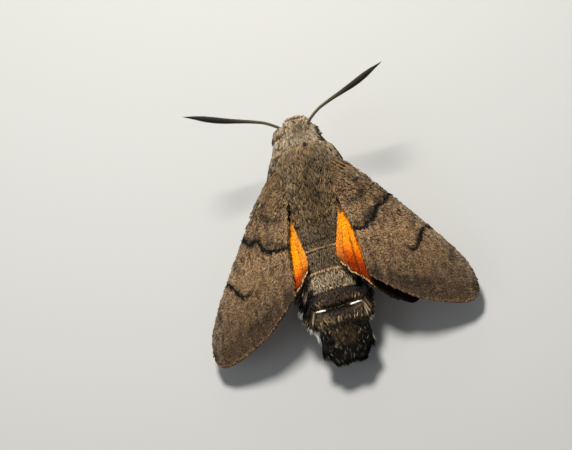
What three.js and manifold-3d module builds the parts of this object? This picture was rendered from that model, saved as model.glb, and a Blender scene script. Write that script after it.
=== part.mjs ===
// Hummingbird hawk moth at rest, wings swept back over the sides of its body.
// Millimetres. +Z is up, +Y is forward, +X is the moth's right.
// Body places are [x, s, z]: x out to the side, s backwards from the front of the face,
// z up from the body's axis. One side is described, and the other is its mirror image.
import * as THREE from 'three';
import { mergeVertices } from 'three/addons/utils/BufferGeometryUtils.js';
import Module from 'manifold-3d';

const wasm = await Module();
wasm.setup();

// Stance
const PITCH = THREE.MathUtils.degToRad(6);
const AXIS_HEIGHT = 5.0;
const AXIS_MIDDLE = 12.0;
const GAP = 0.3;
const SIDES = { left: -1, right: 1 };
const UP = new THREE.Vector3(0, 0, 1);

// Head, thorax and abdomen: half width, height above and depth below the axis
const BODY_OUTLINE = [
  { s: -0.35, half: 0.5, top: 0.6, bottom: 0.6 },
  { s: -0.1, half: 1.15, top: 1.1, bottom: 1.1 },
  { s: 0.5, half: 1.85, top: 1.7, bottom: 1.65 },
  { s: 1.3, half: 2.25, top: 2.1, bottom: 2.0 },
  { s: 2.4, half: 2.4, top: 2.35, bottom: 2.15 },
  { s: 3.6, half: 2.8, top: 2.7, bottom: 2.4 },
  { s: 5.0, half: 3.6, top: 3.6, bottom: 3.1 },
  { s: 6.5, half: 4.1, top: 4.15, bottom: 3.6 },
  { s: 8.0, half: 4.2, top: 4.3, bottom: 3.8 },
  { s: 10.0, half: 3.95, top: 4.05, bottom: 3.75 },
  { s: 12.0, half: 3.6, top: 3.4, bottom: 3.4 },
  { s: 14.0, half: 3.4, top: 2.75, bottom: 3.1 },
  { s: 16.0, half: 3.4, top: 2.5, bottom: 3.05 },
  { s: 19.0, half: 3.5, top: 2.45, bottom: 3.0 },
  { s: 21.5, half: 3.4, top: 2.35, bottom: 2.85 },
  { s: 23.5, half: 3.1, top: 2.1, bottom: 2.55 },
  { s: 25.2, half: 2.6, top: 1.7, bottom: 2.05 },
];
const HEAD_SPAN = { from: -0.35, to: 3.85, steps: 9 };
const THORAX_SPAN = { from: 4.15, to: 14.85, steps: 12 };
const ABDOMEN_SPAN = { from: 15.15, to: 25.2, steps: 11 };
const SEGMENT_ENDS = [16.4, 19.0, 21.2, 23.5];
const SEGMENT_STEP = 0.09;
const BODY_RING_SIDES = 24;
const BODY_ROUNDNESS = 2.15;

// Locks: flat tapered blades; shares of full width and thickness at each ring from root to tip
const LOCK_RINGS = [
  { along: 0, width: 0.8, thick: 1 },
  { along: 0.42, width: 1, thick: 1 },
  { along: 0.8, width: 0.74, thick: 0.8 },
];
const LOCK_SEED = 7;
const LOCK_VARIATION = 0.12;
const RANDOM_FACTOR = 16807;
const RANDOM_MODULUS = 2147483647;

// Side tufts: rows of locks round each side of the abdomen; angles are measured up from the side
const TUFT_ROWS = [
  { s: 18.0, low: -60, high: 12, count: 6, length: 3.3, outwards: 28, width: 1.3 },
  { s: 20.0, low: -56, high: 24, count: 6, length: 3.2, outwards: 21, width: 1.25 },
  { s: 21.9, low: -60, high: 48, count: 7, length: 3.1, outwards: 14, width: 1.2 },
];
const TUFT_THICKNESS = 0.5;
const TUFT_SINK = 0.4;
const TUFT_BEND = -0.35;

// Tail fan: a short core, and tiers of locks above and below the longest ones at its rim
const FAN_OUTLINE = [
  { s: 25.5, half: 2.5, top: 1.6, bottom: 1.95 },
  { s: 26.4, half: 2.55, top: 1.2, bottom: 1.5 },
  { s: 27.3, half: 2.2, top: 0.6, bottom: 0.8 },
];
const FAN_SPAN = { from: 25.5, to: 27.3, steps: 3 };
const FAN_LOCK_WIDTH = 1.25;
const FAN_CORNER_SET_BACK = 0.3;
const FAN_LOCK_THICKNESS = 0.5;
const FAN_CORNER_SHORTENING = 0.3;
const FAN_CORNER_FLATTENING = 0.35;
const FAN_TIERS = [
  { count: 8, s: 26.35, half: 2.3, z: -0.15, dive: 0, spread: 14, length: 3.05 },
  { count: 7, s: 26.1, half: 2.25, z: 0.5, dive: -8, spread: 12, length: 2.95 },
  { count: 6, s: 25.95, half: 1.95, z: 1.0, dive: -15, spread: 9, length: 2.3 },
  { count: 7, s: 26.1, half: 2.2, z: -0.85, dive: 8, spread: 12, length: 2.95 },
  { count: 6, s: 25.95, half: 1.85, z: -1.35, dive: 15, spread: 9, length: 2.3 },
];

// Eyes
const EYE_RADIUS = 1.2;
const EYE_CENTRE = [1.75, 2.1, -0.15];
const EYE_SEGMENTS = 16;
const EYE_RINGS = 10;

// Palps: centre line and radius at each point
const PALP_LINE = [
  [1.12, 1.5, -1.95], [1.16, 0.6, -2.3], [1.1, -0.1, -1.8], [1.0, -0.42, -1.0], [0.9, -0.42, -0.3],
];
const PALP_RADII = [0.42, 0.56, 0.55, 0.42, 0.14];
const PALP_STEPS = 8;
const TUBE_SIDES = 8;

// Proboscis: coiled between the palps, on a short stem
const COIL_CENTRE = [0, 0.35, -2.75];
const COIL_RADIUS = 0.95;
const COIL_WIDTH = 0.56;
// Half of the coil's section from its hollow middle to its rim, in shares of its radius and half width
const COIL_PROFILE = [[0, 0.57], [0.35, 0.57], [0.62, 1], [0.85, 0.8], [1, 0]];
const COIL_SEGMENTS = 18;
const COIL_STEM = [[0, 0.9, -1.6], [0, 0.95, -2.6]];
const COIL_STEM_RADIUS = 0.28;

// Antennae: thicken to a club near the end, then come to a hooked point
const ANTENNA_LINE = [
  [1.35, 1.35, 1.3], [1.75, 1.0, 1.72], [2.35, 0.62, 2.02], [3.3, 0.2, 2.5], [4.6, -0.08, 3.15],
  [6.0, -0.28, 3.85], [7.5, -0.5, 4.6], [9.0, -0.82, 5.35], [10.3, -1.15, 6.0], [11.3, -1.4, 6.45],
];
const ANTENNA_STEPS = 18;
const ANTENNA_RADII = [0.25, 0.25, 0.25, 0.25, 0.26, 0.28, 0.3, 0.33, 0.33, 0.26, 0.06];

// Wings: [p, q] places lie in the wing's own plane, p outwards and q backwards from its shoulder
const WING_DROOP = THREE.MathUtils.degToRad(23.7);
const WING_RISE = 0.03;
const WING_THICKNESS = 0.5;
const VEIN_HEIGHT = 0.14;
const VEIN_TIP_SHARE = 0.4;
const VEIN_HALF_WIDTH = 0.018;
const LEADING_EDGE_SHARE = 0.5;
const CELL_BLEND = 0.05;
const DIP_FADE = { from: 1.5, to: 4 };
const ARCH_AT_ROOT = 0.1;
const FOREWING = {
  shoulder: [4.2, 7.0, 2.6],
  root: [[-1.5, -1.2], [-1.7, 1.0], [-1.9, 3.4]],
  costa: [[-1.5, -1.2], [0, 0.1], [1.7, 1.75], [4.4, 4.75], [6.5, 7.3], [8.1, 9.3], [10.1, 12.0],
    [11.5, 14.3], [12.02, 16.2], [12.0, 17.7], [11.65, 18.55]],
  termen: [[11.65, 18.55], [11.05, 18.9], [10.0, 19.0], [8.6, 18.8], [7.0, 18.4], [5.2, 17.8], [3.7, 17.0],
    [2.2, 15.9], [1.0, 15.0], [0, 14.2]],
  inner: [[-1.9, 3.4], [-1.5, 4.5], [-1.0, 6.6], [-0.5, 8.5], [-0.2, 11.0], [0, 14.2]],
  turn: { left: -1.0, right: 0.6 },
  camber: 0.35,
  rootDip: 0.22,
  lengthSteps: 13,
  cellEnd: 0.5,
  veins: [
    { name: 'subcosta', root: 0.06, edge: 0.04 },
    { name: 'radius', root: 0.16, edge: 0.1 },
    { name: 'radial fork', root: 0.26, edge: 0.19 },
    { name: 'first median', root: 0.34, edge: 0.3 },
    { name: 'second median', root: 0.46, edge: 0.42, fromCell: true },
    { name: 'third median', root: 0.57, edge: 0.54, fromCell: true },
    { name: 'first cubital', root: 0.66, edge: 0.67 },
    { name: 'second cubital', root: 0.75, edge: 0.8 },
    { name: 'anal', root: 0.88, edge: 0.92 },
  ],
};
const HINDWING = {
  shoulder: [4.2, 7.0, 1.45],
  root: [[-1.7, 3.0], [-1.9, 4.0], [-2.1, 5.0]],
  costa: [[-1.7, 3.0], [0.6, 5.4], [3.0, 9.2], [5.1, 13.2], [6.0, 16.1]],
  termen: [[6.0, 16.1], [5.75, 17.0], [5.0, 17.45], [4.1, 17.25], [2.4, 16.3], [0.85, 15.05], [-0.1, 13.95],
    [-1.0, 13.3], [-1.75, 12.8], [-1.85, 12.3], [-2.3, 12.1], [-2.6, 11.7]],
  inner: [[-2.1, 5.0], [-1.75, 5.8], [-2.2, 7.9], [-2.65, 9.9], [-2.75, 11.0], [-2.6, 11.7]],
  turn: { left: 2.5, right: -2.5 },
  camber: 0.1,
  rootDip: 0,
  lengthSteps: 10,
  cellEnd: 0.45,
  veins: [
    { name: 'radius', root: 0.1, edge: 0.08 },
    { name: 'radial sector', root: 0.24, edge: 0.2 },
    { name: 'first median', root: 0.36, edge: 0.32 },
    { name: 'third median', root: 0.5, edge: 0.47, fromCell: true },
    { name: 'first cubital', root: 0.62, edge: 0.6 },
    { name: 'second cubital', root: 0.74, edge: 0.74 },
    { name: 'anal', root: 0.88, edge: 0.9 },
  ],
};

// Legs: places in the stance, x out to the side, y forward of the origin, z above the floor
const LEG_SIDES = 8;
const HIP_RADIUS = 0.55;
const THIGH_RADIUS = 0.46;
const KNEE_RADIUS = 0.38;
const SHIN_RADIUS = 0.4;
const ANKLE_RADIUS = 0.27;
const FOOT_RADIUS = 0.28;
const FOOT_CENTRE_HEIGHT = 0.2;
const KNEE_SHARE = 0.08;
const HEEL_SHARE = 0.3;
const SPUR_LENGTH = 1.0;
const SPUR_RADII = [0.25, 0.06];
const SPUR_SIDES = 6;
const FIRST_SPUR = 0.5;
const SPUR_SPACING = 1.6;
const SPUR_LEAN = { out: 0.75, back: 0.35, up: 0.1, down: 0.75 };
const LEGS = {
  front: { hip: [1.2, 7.3, 3.2], knee: [3.0, 8.0, 3.1], ankle: [3.1, 9.4, 0.9], toe: [2.2, 10.9], spurs: 0 },
  mid: { hip: [1.7, 4.4, 2.8], knee: [5.0, 4.0, 3.7], ankle: [6.6, 3.0, 0.9], toe: [7.4, 1.1], spurs: 1 },
  hind: { hip: [1.7, 1.3, 2.6], knee: [4.7, -0.8, 3.5], ankle: [5.4, -4.0, 0.9], toe: [5.9, -6.0], spurs: 2 },
};
const FLOOR_SLAB = { width: 80, depth: 80, thickness: 4 };

// Finishes
const FINISHES = {
  thoraxFur: { color: 0x7a6a50, roughness: 0.9, metalness: 0 },
  headFur: { color: 0x8c7c64, roughness: 0.9, metalness: 0 },
  abdomenFur: { color: 0x4a4034, roughness: 0.9, metalness: 0 },
  fanScales: { color: 0x26221f, roughness: 0.85, metalness: 0 },
  forewingScales: { color: 0x7d6a52, roughness: 0.8, metalness: 0 },
  hindwingScales: { color: 0xe08a1a, roughness: 0.75, metalness: 0 },
  eyeLens: { color: 0x14100c, roughness: 0.2, metalness: 0 },
  antennaScales: { color: 0x2e2820, roughness: 0.7, metalness: 0 },
  palpScales: { color: 0xa39680, roughness: 0.85, metalness: 0 },
  proboscisHorn: { color: 0x3a2a1c, roughness: 0.45, metalness: 0 },
  legScales: { color: 0x6b5c48, roughness: 0.8, metalness: 0 },
};

// Solids

function toSolid(geometry) {
  const bare = geometry.clone();
  bare.deleteAttribute('normal');
  bare.deleteAttribute('uv');
  const merged = mergeVertices(bare);
  const mesh = new wasm.Mesh({
    numProp: 3,
    vertProperties: new Float32Array(merged.attributes.position.array),
    triVerts: new Uint32Array(merged.index.array),
  });
  return new wasm.Manifold(mesh);
}

function toGeometry(solid) {
  const mesh = solid.getMesh();
  const geometry = new THREE.BufferGeometry();
  geometry.setAttribute('position', new THREE.BufferAttribute(new Float32Array(mesh.vertProperties), 3));
  geometry.setIndex(new THREE.BufferAttribute(new Uint32Array(mesh.triVerts), 1));
  geometry.computeVertexNormals();
  return geometry;
}

function largestPiece(solid) {
  return solid.decompose().reduce((best, piece) => (piece.volume() > best.volume() ? piece : best));
}

function signedVolume(points, index) {
  let total = 0;
  for (let i = 0; i < index.length; i += 3) {
    const [a, b, c] = [points[index[i]], points[index[i + 1]], points[index[i + 2]]];
    total += a.dot(new THREE.Vector3().crossVectors(b, c));
  }
  return total / 6;
}

// Faces are turned outwards whichever way round they were listed
function closedGeometry(points, index) {
  if (signedVolume(points, index) < 0) {
    for (let i = 0; i < index.length; i += 3) [index[i], index[i + 1]] = [index[i + 1], index[i]];
  }
  const geometry = new THREE.BufferGeometry().setFromPoints(points);
  geometry.setIndex(index);
  return geometry;
}

// A closed skin over rings of equal point counts; the last end is drawn to a tip where one is given
function ringShell(rings, tip = null) {
  const count = rings[0].length;
  const points = rings.flat();
  const index = [];
  for (let r = 0; r + 1 < rings.length; r += 1) {
    for (let k = 0; k < count; k += 1) {
      const next = (k + 1) % count;
      const [a, b] = [r * count + k, r * count + next];
      index.push(a, b, a + count, b, b + count, a + count);
    }
  }
  const lastRing = (rings.length - 1) * count;
  const ends = [{ start: 0, flip: true, tip: null }, { start: lastRing, flip: false, tip }];
  for (const end of ends) {
    const centre = points.length;
    points.push(end.tip ?? middleOf(points.slice(end.start, end.start + count)));
    for (let k = 0; k < count; k += 1) {
      const [a, b] = [end.start + k, end.start + ((k + 1) % count)];
      index.push(...(end.flip ? [b, a, centre] : [a, b, centre]));
    }
  }
  return closedGeometry(points, index);
}

function middleOf(points) {
  return points.reduce((sum, point) => sum.add(point), new THREE.Vector3()).divideScalar(points.length);
}

// A tube with rounded section along a line of points, its radius read from a list spread over its length
function taperedTube(places, radii, steps, sides) {
  const curve = new THREE.CatmullRomCurve3(places);
  const frames = curve.computeFrenetFrames(steps, false);
  const rings = [];
  for (let i = 0; i <= steps; i += 1) {
    const centre = curve.getPointAt(i / steps);
    const radius = valueAlong(radii, i / steps);
    rings.push(ringAround(centre, frames.normals[i], frames.binormals[i], radius, sides));
  }
  return toSolid(ringShell(rings));
}

// A tube through joints: each joint has one ring, mitred between the lengths that meet there
function jointedTube(joints, sides) {
  const rings = joints.map(({ place, radius }, i) => {
    const before = joints[Math.max(i - 1, 0)].place;
    const after = joints[Math.min(i + 1, joints.length - 1)].place;
    const ahead = new THREE.Vector3().subVectors(after, before).normalize();
    const across = new THREE.Vector3().crossVectors(ahead, UP).normalize();
    const raised = new THREE.Vector3().crossVectors(across, ahead);
    return ringAround(place, across, raised, radius, sides);
  });
  return toSolid(ringShell(rings));
}

function ringAround(centre, across, raised, radius, sides) {
  const ring = [];
  for (let k = 0; k < sides; k += 1) {
    const angle = (2 * Math.PI * (k + 0.5)) / sides;
    ring.push(centre.clone()
      .addScaledVector(across, radius * Math.cos(angle))
      .addScaledVector(raised, radius * Math.sin(angle)));
  }
  return ring;
}

function valueAlong(values, share) {
  const place = share * (values.length - 1);
  const i = Math.min(Math.floor(place), values.length - 2);
  return THREE.MathUtils.lerp(values[i], values[i + 1], place - i);
}

// Body

function bodyPoint(x, s, z) {
  return new THREE.Vector3(x, AXIS_MIDDLE - s, z);
}

function bodyDirection(x, s, z) {
  return new THREE.Vector3(x, -s, z);
}

function mirrored(place, side) {
  return bodyPoint(place[0] * side, place[1], place[2]);
}

// Reads a smooth curve through the outline's stations
function outlineAt(outline, s) {
  const last = outline.length - 1;
  let i = outline.findIndex((row, k) => k < last && s <= outline[k + 1].s);
  if (i < 0) i = last - 1;
  const [a, b] = [outline[i], outline[i + 1]];
  const span = b.s - a.s;
  const t = THREE.MathUtils.clamp((s - a.s) / span, 0, 1);
  const slope = (k, key) => {
    const [before, after] = [outline[Math.max(k - 1, 0)], outline[Math.min(k + 1, last)]];
    return (after[key] - before[key]) / (after.s - before.s);
  };
  const read = (key) => {
    const start = 2 * t ** 3 - 3 * t ** 2 + 1;
    const leaving = (t ** 3 - 2 * t ** 2 + t) * span * slope(i, key);
    const arriving = (t ** 3 - t ** 2) * span * slope(i + 1, key);
    return start * a[key] + (1 - start) * b[key] + leaving + arriving;
  };
  return { half: read('half'), top: read('top'), bottom: read('bottom') };
}

function bodyRing(outline, s, grow, endShift) {
  const { half, top, bottom } = outlineAt(outline, s);
  const power = 2 / BODY_ROUNDNESS;
  const ring = [];
  for (let k = 0; k < BODY_RING_SIDES; k += 1) {
    const angle = (2 * Math.PI * k) / BODY_RING_SIDES;
    const [across, up] = [Math.cos(angle), Math.sin(angle)];
    const height = (up > 0 ? top : bottom) + grow;
    ring.push(bodyPoint(
      Math.sign(across) * Math.abs(across) ** power * (half + grow),
      s + endShift,
      Math.sign(up) * Math.abs(up) ** power * height,
    ));
  }
  return ring;
}

// The abdomen: each segment's rear edge stands a little proud of the front of the next
function segmentedAbdomen() {
  const edges = [ABDOMEN_SPAN.from, ...SEGMENT_ENDS, ABDOMEN_SPAN.to];
  const rings = [];
  for (let k = 0; k + 1 < edges.length; k += 1) {
    rings.push(
      bodyRing(BODY_OUTLINE, edges[k], -SEGMENT_STEP, SEGMENT_STEP),
      bodyRing(BODY_OUTLINE, (edges[k] + edges[k + 1]) / 2, 0, 0),
      bodyRing(BODY_OUTLINE, edges[k + 1], 0, 0),
    );
  }
  return toSolid(ringShell(rings));
}

// A length of the body; grown by the gap it cuts clearance for what grows from it
function bodyLength(outline, span, grow = 0) {
  const rings = [];
  for (let i = 0; i <= span.steps; i += 1) {
    const share = i / span.steps;
    const s = THREE.MathUtils.lerp(span.from, span.to, share);
    rings.push(bodyRing(outline, s, grow, grow * (2 * share - 1)));
  }
  return toSolid(ringShell(rings));
}

// Locks

function seededRandom(seed) {
  let state = seed;
  return () => {
    state = (state * RANDOM_FACTOR) % RANDOM_MODULUS;
    return state / RANDOM_MODULUS;
  };
}

// A flat blade from root to tip; face is the way its flat side looks, bend how far its tip curls that way
function lockSolid(root, ahead, face, length, width, thickness, bend = 0) {
  const across = new THREE.Vector3().crossVectors(ahead, face).normalize();
  const raised = new THREE.Vector3().crossVectors(across, ahead).normalize();
  const spine = (along) => root.clone()
    .addScaledVector(ahead, along * length)
    .addScaledVector(raised, bend * along ** 2);
  const rings = LOCK_RINGS.map((ring) => {
    const centre = spine(ring.along);
    const [w, h] = [(width * ring.width) / 2, (thickness * ring.thick) / 2];
    return [
      centre.clone().addScaledVector(across, w),
      centre.clone().addScaledVector(raised, h),
      centre.clone().addScaledVector(across, -w),
      centre.clone().addScaledVector(raised, -h),
    ];
  });
  return toSolid(ringShell(rings, spine(1)));
}

function sideTufts(side, random) {
  const locks = [];
  for (const row of TUFT_ROWS) {
    const { half, top, bottom } = outlineAt(BODY_OUTLINE, row.s);
    for (let k = 0; k < row.count; k += 1) {
      const up = THREE.MathUtils.degToRad(THREE.MathUtils.lerp(row.low, row.high, k / (row.count - 1)));
      const height = up > 0 ? top : bottom;
      const face = bodyDirection(side * Math.cos(up) * height, 0, Math.sin(up) * half).normalize();
      const root = bodyPoint(side * half * Math.cos(up), row.s, height * Math.sin(up));
      root.addScaledVector(face, -TUFT_SINK);
      const lean = THREE.MathUtils.degToRad(row.outwards + vary(random, row.outwards));
      const ahead = bodyDirection(0, Math.cos(lean), 0).addScaledVector(face, Math.sin(lean));
      const length = row.length + vary(random, row.length);
      locks.push(lockSolid(root, ahead, face, length, row.width, TUFT_THICKNESS, TUFT_BEND));
    }
  }
  return locks;
}

function fanLocks(random) {
  const locks = [];
  for (const tier of FAN_TIERS) {
    for (let k = 0; k < tier.count; k += 1) {
      const share = (2 * k) / (tier.count - 1) - 1;
      const spread = THREE.MathUtils.degToRad(tier.spread * share);
      const dive = THREE.MathUtils.degToRad(tier.dive);
      const ahead = bodyDirection(Math.sin(spread), Math.cos(spread), Math.tan(dive)).normalize();
      const corner = share * share;
      const root = bodyPoint(
        tier.half * share,
        tier.s - FAN_CORNER_SET_BACK * corner,
        tier.z * (1 - FAN_CORNER_FLATTENING * corner),
      );
      const length = tier.length * (1 - FAN_CORNER_SHORTENING * corner ** 2) * (1 + vary(random, 1) / 2);
      locks.push(lockSolid(root, ahead, UP, length, FAN_LOCK_WIDTH, FAN_LOCK_THICKNESS));
    }
  }
  return locks;
}

function vary(random, size) {
  return size * LOCK_VARIATION * (2 * random() - 1);
}

function fused(pieces) {
  return wasm.Manifold.union(pieces);
}

// Eyes, palps, proboscis and antennae

function ball(place, side, radius) {
  const geometry = new THREE.SphereGeometry(radius, EYE_SEGMENTS, EYE_RINGS);
  const centre = mirrored(place, side);
  return toSolid(geometry.translate(centre.x, centre.y, centre.z));
}

function palp(side) {
  const line = PALP_LINE.map((place) => mirrored(place, side));
  return taperedTube(line, PALP_RADII, PALP_STEPS, TUBE_SIDES);
}

function proboscis() {
  const face = (sign) => COIL_PROFILE.map(([out, along]) => (
    new THREE.Vector2(out * COIL_RADIUS, (sign * along * COIL_WIDTH) / 2)
  ));
  const profile = [...face(-1), ...face(1).reverse().slice(1)];
  const coil = new THREE.LatheGeometry(profile, COIL_SEGMENTS).rotateZ(Math.PI / 2);
  const centre = mirrored(COIL_CENTRE, 1);
  const stem = COIL_STEM.map((place) => mirrored(place, 1));
  return fused([
    toSolid(coil.translate(centre.x, centre.y, centre.z)),
    taperedTube(stem, [COIL_STEM_RADIUS, COIL_STEM_RADIUS], 1, TUBE_SIDES),
  ]);
}

function antenna(side) {
  const line = ANTENNA_LINE.map((place) => mirrored(place, side));
  return taperedTube(line, ANTENNA_RADII, ANTENNA_STEPS, TUBE_SIDES);
}

// Wings

function planeCurve(places) {
  return new THREE.SplineCurve(places.map(([p, q]) => new THREE.Vector2(p, q)));
}

// Fills the four edges of a wing: u runs from root to outer edge, v from leading to trailing edge
function wingSheet(wing) {
  const [leading, trailing] = [planeCurve(wing.costa), planeCurve(wing.inner)];
  const [root, outer] = [planeCurve(wing.root), planeCurve(wing.termen)];
  return (u, v) => leading.getPointAt(u).multiplyScalar(1 - v)
    .addScaledVector(trailing.getPointAt(u), v)
    .addScaledVector(root.getPointAt(v), 1 - u)
    .addScaledVector(outer.getPointAt(v), u)
    .addScaledVector(leading.getPoint(0), -(1 - u) * (1 - v))
    .addScaledVector(trailing.getPoint(0), -(1 - u) * v)
    .addScaledVector(leading.getPoint(1), -u * (1 - v))
    .addScaledVector(trailing.getPoint(1), -u * v);
}

// The rows of points across a wing: both edges, and a foot, a crest and a foot for each vein
function wingRows(wing, u) {
  const rows = [{ v: 0, lift: VEIN_HEIGHT * LEADING_EDGE_SHARE }];
  const pastCell = THREE.MathUtils.smoothstep(u, wing.cellEnd - CELL_BLEND, wing.cellEnd + CELL_BLEND);
  const height = VEIN_HEIGHT * THREE.MathUtils.lerp(1, VEIN_TIP_SHARE, u);
  for (const vein of wing.veins) {
    const v = THREE.MathUtils.lerp(vein.root, vein.edge, u);
    rows.push(
      { v: v - VEIN_HALF_WIDTH, lift: 0 },
      { v, lift: vein.fromCell ? height * pastCell : height },
      { v: v + VEIN_HALF_WIDTH, lift: 0 },
    );
  }
  rows.push({ v: 1, lift: 0 });
  return rows;
}

function wingPoint(wing, side, sheetPoint, height) {
  const turn = THREE.MathUtils.degToRad(wing.turn[side < 0 ? 'left' : 'right']);
  const pivot = new THREE.Vector2(...wing.root[0]);
  const { x: p, y: q } = sheetPoint.clone().rotateAround(pivot, -turn);
  const [x, s, z] = wing.shoulder;
  const dipShare = 1 - THREE.MathUtils.smoothstep(q, DIP_FADE.from, DIP_FADE.to);
  const dip = wing.rootDip * dipShare * Math.max(-p, 0) ** 2;
  return bodyPoint(
    side * (x + p * Math.cos(WING_DROOP) + height * Math.sin(WING_DROOP)),
    s + q,
    z - p * Math.sin(WING_DROOP) + q * WING_RISE + height * Math.cos(WING_DROOP) - dip,
  );
}

function wingSolid(wing, side) {
  const sheet = wingSheet(wing);
  const faces = { top: [], bottom: [] };
  const columns = wing.lengthSteps + 1;
  const rowCount = wingRows(wing, 0).length;
  for (let i = 0; i < columns; i += 1) {
    const u = i / wing.lengthSteps;
    const archHeight = wing.camber * Math.sin(Math.PI * Math.min(u + ARCH_AT_ROOT, 1));
    for (const row of wingRows(wing, u)) {
      const place = sheet(u, row.v);
      const arch = archHeight * Math.sin(Math.PI * row.v);
      faces.top.push(wingPoint(wing, side, place, arch + WING_THICKNESS / 2 + row.lift));
      faces.bottom.push(wingPoint(wing, side, place, arch - WING_THICKNESS / 2));
    }
  }
  const points = [...faces.top, ...faces.bottom];
  const under = faces.top.length;
  const index = [];
  const quad = (a, b, c, d) => index.push(a, b, c, a, c, d);
  for (let i = 0; i + 1 < columns; i += 1) {
    for (let k = 0; k + 1 < rowCount; k += 1) {
      const a = i * rowCount + k;
      const [b, c, d] = [a + rowCount, a + rowCount + 1, a + 1];
      quad(a, b, c, d);
      index.push(under + a, under + c, under + b, under + a, under + d, under + c);
    }
    const [lead, trail] = [i * rowCount, i * rowCount + rowCount - 1];
    quad(lead, under + lead, under + lead + rowCount, lead + rowCount);
    quad(trail, trail + rowCount, under + trail + rowCount, under + trail);
  }
  const outer = (columns - 1) * rowCount;
  for (let k = 0; k + 1 < rowCount; k += 1) {
    quad(k, k + 1, under + k + 1, under + k);
    quad(outer + k, under + outer + k, under + outer + k + 1, outer + k + 1);
  }
  return toSolid(closedGeometry(points, index));
}

// Legs

function legSolid(leg, side) {
  const place = ([x, y, z]) => new THREE.Vector3(x * side, y, z);
  const [hip, knee, ankle] = [leg.hip, leg.knee, leg.ankle].map(place);
  const toe = place([...leg.toe, FOOT_CENTRE_HEIGHT]);
  const heel = ankle.clone().lerp(toe, HEEL_SHARE).setZ(FOOT_CENTRE_HEIGHT);
  const tube = jointedTube([
    { place: hip, radius: HIP_RADIUS },
    { place: hip.clone().lerp(knee, 0.5), radius: THIGH_RADIUS },
    { place: hip.clone().lerp(knee, 1 - KNEE_SHARE), radius: KNEE_RADIUS },
    { place: knee.clone().lerp(ankle, KNEE_SHARE), radius: KNEE_RADIUS },
    { place: knee.clone().lerp(ankle, 0.5), radius: SHIN_RADIUS },
    { place: ankle, radius: ANKLE_RADIUS },
    { place: heel, radius: FOOT_RADIUS },
    { place: toe, radius: FOOT_RADIUS },
  ], LEG_SIDES);
  const shin = new THREE.Vector3().subVectors(ankle, knee).normalize();
  return fused([tube, ...spurs(leg, side, ankle, shin)]);
}

function spurs(leg, side, ankle, shin) {
  const list = [];
  for (let k = 0; k < leg.spurs; k += 1) {
    const start = ankle.clone().addScaledVector(shin, -FIRST_SPUR - SPUR_SPACING * k);
    const out = new THREE.Vector3(side * SPUR_LEAN.out, -SPUR_LEAN.back, SPUR_LEAN.up);
    out.addScaledVector(shin, SPUR_LEAN.down).normalize();
    const tip = start.clone().addScaledVector(out, SPUR_LENGTH);
    list.push(taperedTube([start, tip], SPUR_RADII, 1, SPUR_SIDES));
  }
  return list;
}

function floorSlab() {
  const { width, depth, thickness } = FLOOR_SLAB;
  return toSolid(new THREE.BoxGeometry(width, depth, thickness).translate(0, 0, -thickness / 2));
}

// The whole moth

// Cutting may leave a sliver inside the body, so a node keeps its largest piece
function addNode(group, name, solid, finish) {
  const mesh = new THREE.Mesh(toGeometry(largestPiece(solid)), new THREE.MeshStandardMaterial(finish));
  mesh.name = name;
  group.add(mesh);
}

function buildBody(group) {
  const random = seededRandom(LOCK_SEED);
  const thorax = bodyLength(BODY_OUTLINE, THORAX_SPAN);
  const tufts = Object.values(SIDES).flatMap((side) => sideTufts(side, random));
  const abdomen = fused([segmentedAbdomen(), ...tufts]);
  const fan = fused([bodyLength(FAN_OUTLINE, FAN_SPAN), ...fanLocks(random)]);
  const clearHead = bodyLength(BODY_OUTLINE, HEAD_SPAN, GAP);
  const clearTrunk = fused([THORAX_SPAN, ABDOMEN_SPAN].map((span) => bodyLength(BODY_OUTLINE, span, GAP)));
  const sockets = fused(Object.values(SIDES).map((side) => ball(EYE_CENTRE, side, EYE_RADIUS + GAP)));
  const head = bodyLength(BODY_OUTLINE, HEAD_SPAN).subtract(sockets);
  addNode(group, 'head', head, FINISHES.headFur);
  addNode(group, 'thorax', thorax, FINISHES.thoraxFur);
  addNode(group, 'abdomen', abdomen, FINISHES.abdomenFur);
  addNode(group, 'tail_fan', fan, FINISHES.fanScales);
  addNode(group, 'proboscis', proboscis().subtract(clearHead), FINISHES.proboscisHorn);
  for (const [name, side] of Object.entries(SIDES)) {
    addNode(group, `eye_${name}`, ball(EYE_CENTRE, side, EYE_RADIUS), FINISHES.eyeLens);
    addNode(group, `palp_${name}`, palp(side).subtract(clearHead), FINISHES.palpScales);
    addNode(group, `antenna_${name}`, antenna(side).subtract(clearHead), FINISHES.antennaScales);
    const wings = [FOREWING, HINDWING].map((wing) => wingSolid(wing, side).subtract(clearTrunk));
    addNode(group, `forewing_${name}`, wings[0], FINISHES.forewingScales);
    addNode(group, `hindwing_${name}`, wings[1], FINISHES.hindwingScales);
  }
}

function buildLegs(group, bodyMatrix) {
  const clearThorax = bodyLength(BODY_OUTLINE, THORAX_SPAN, GAP).transform([...bodyMatrix.elements]);
  const slab = floorSlab();
  for (const [name, side] of Object.entries(SIDES)) {
    for (const [pair, leg] of Object.entries(LEGS)) {
      const solid = legSolid(leg, side).subtract(clearThorax).subtract(slab);
      addNode(group, `leg_${pair}_${name}`, solid, FINISHES.legScales);
    }
  }
}

function buildMoth() {
  const body = new THREE.Group();
  body.rotation.x = PITCH;
  body.position.z = AXIS_HEIGHT;
  body.updateMatrixWorld(true);
  buildBody(body);
  const legs = new THREE.Group();
  buildLegs(legs, body.matrixWorld);
  const moth = new THREE.Group();
  moth.add(body, legs);
  const bounds = new THREE.Box3().setFromObject(moth, true);
  const middle = bounds.getCenter(new THREE.Vector3());
  moth.position.set(-middle.x, -middle.y, -bounds.min.z);
  return moth;
}

export default buildMoth();
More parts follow.
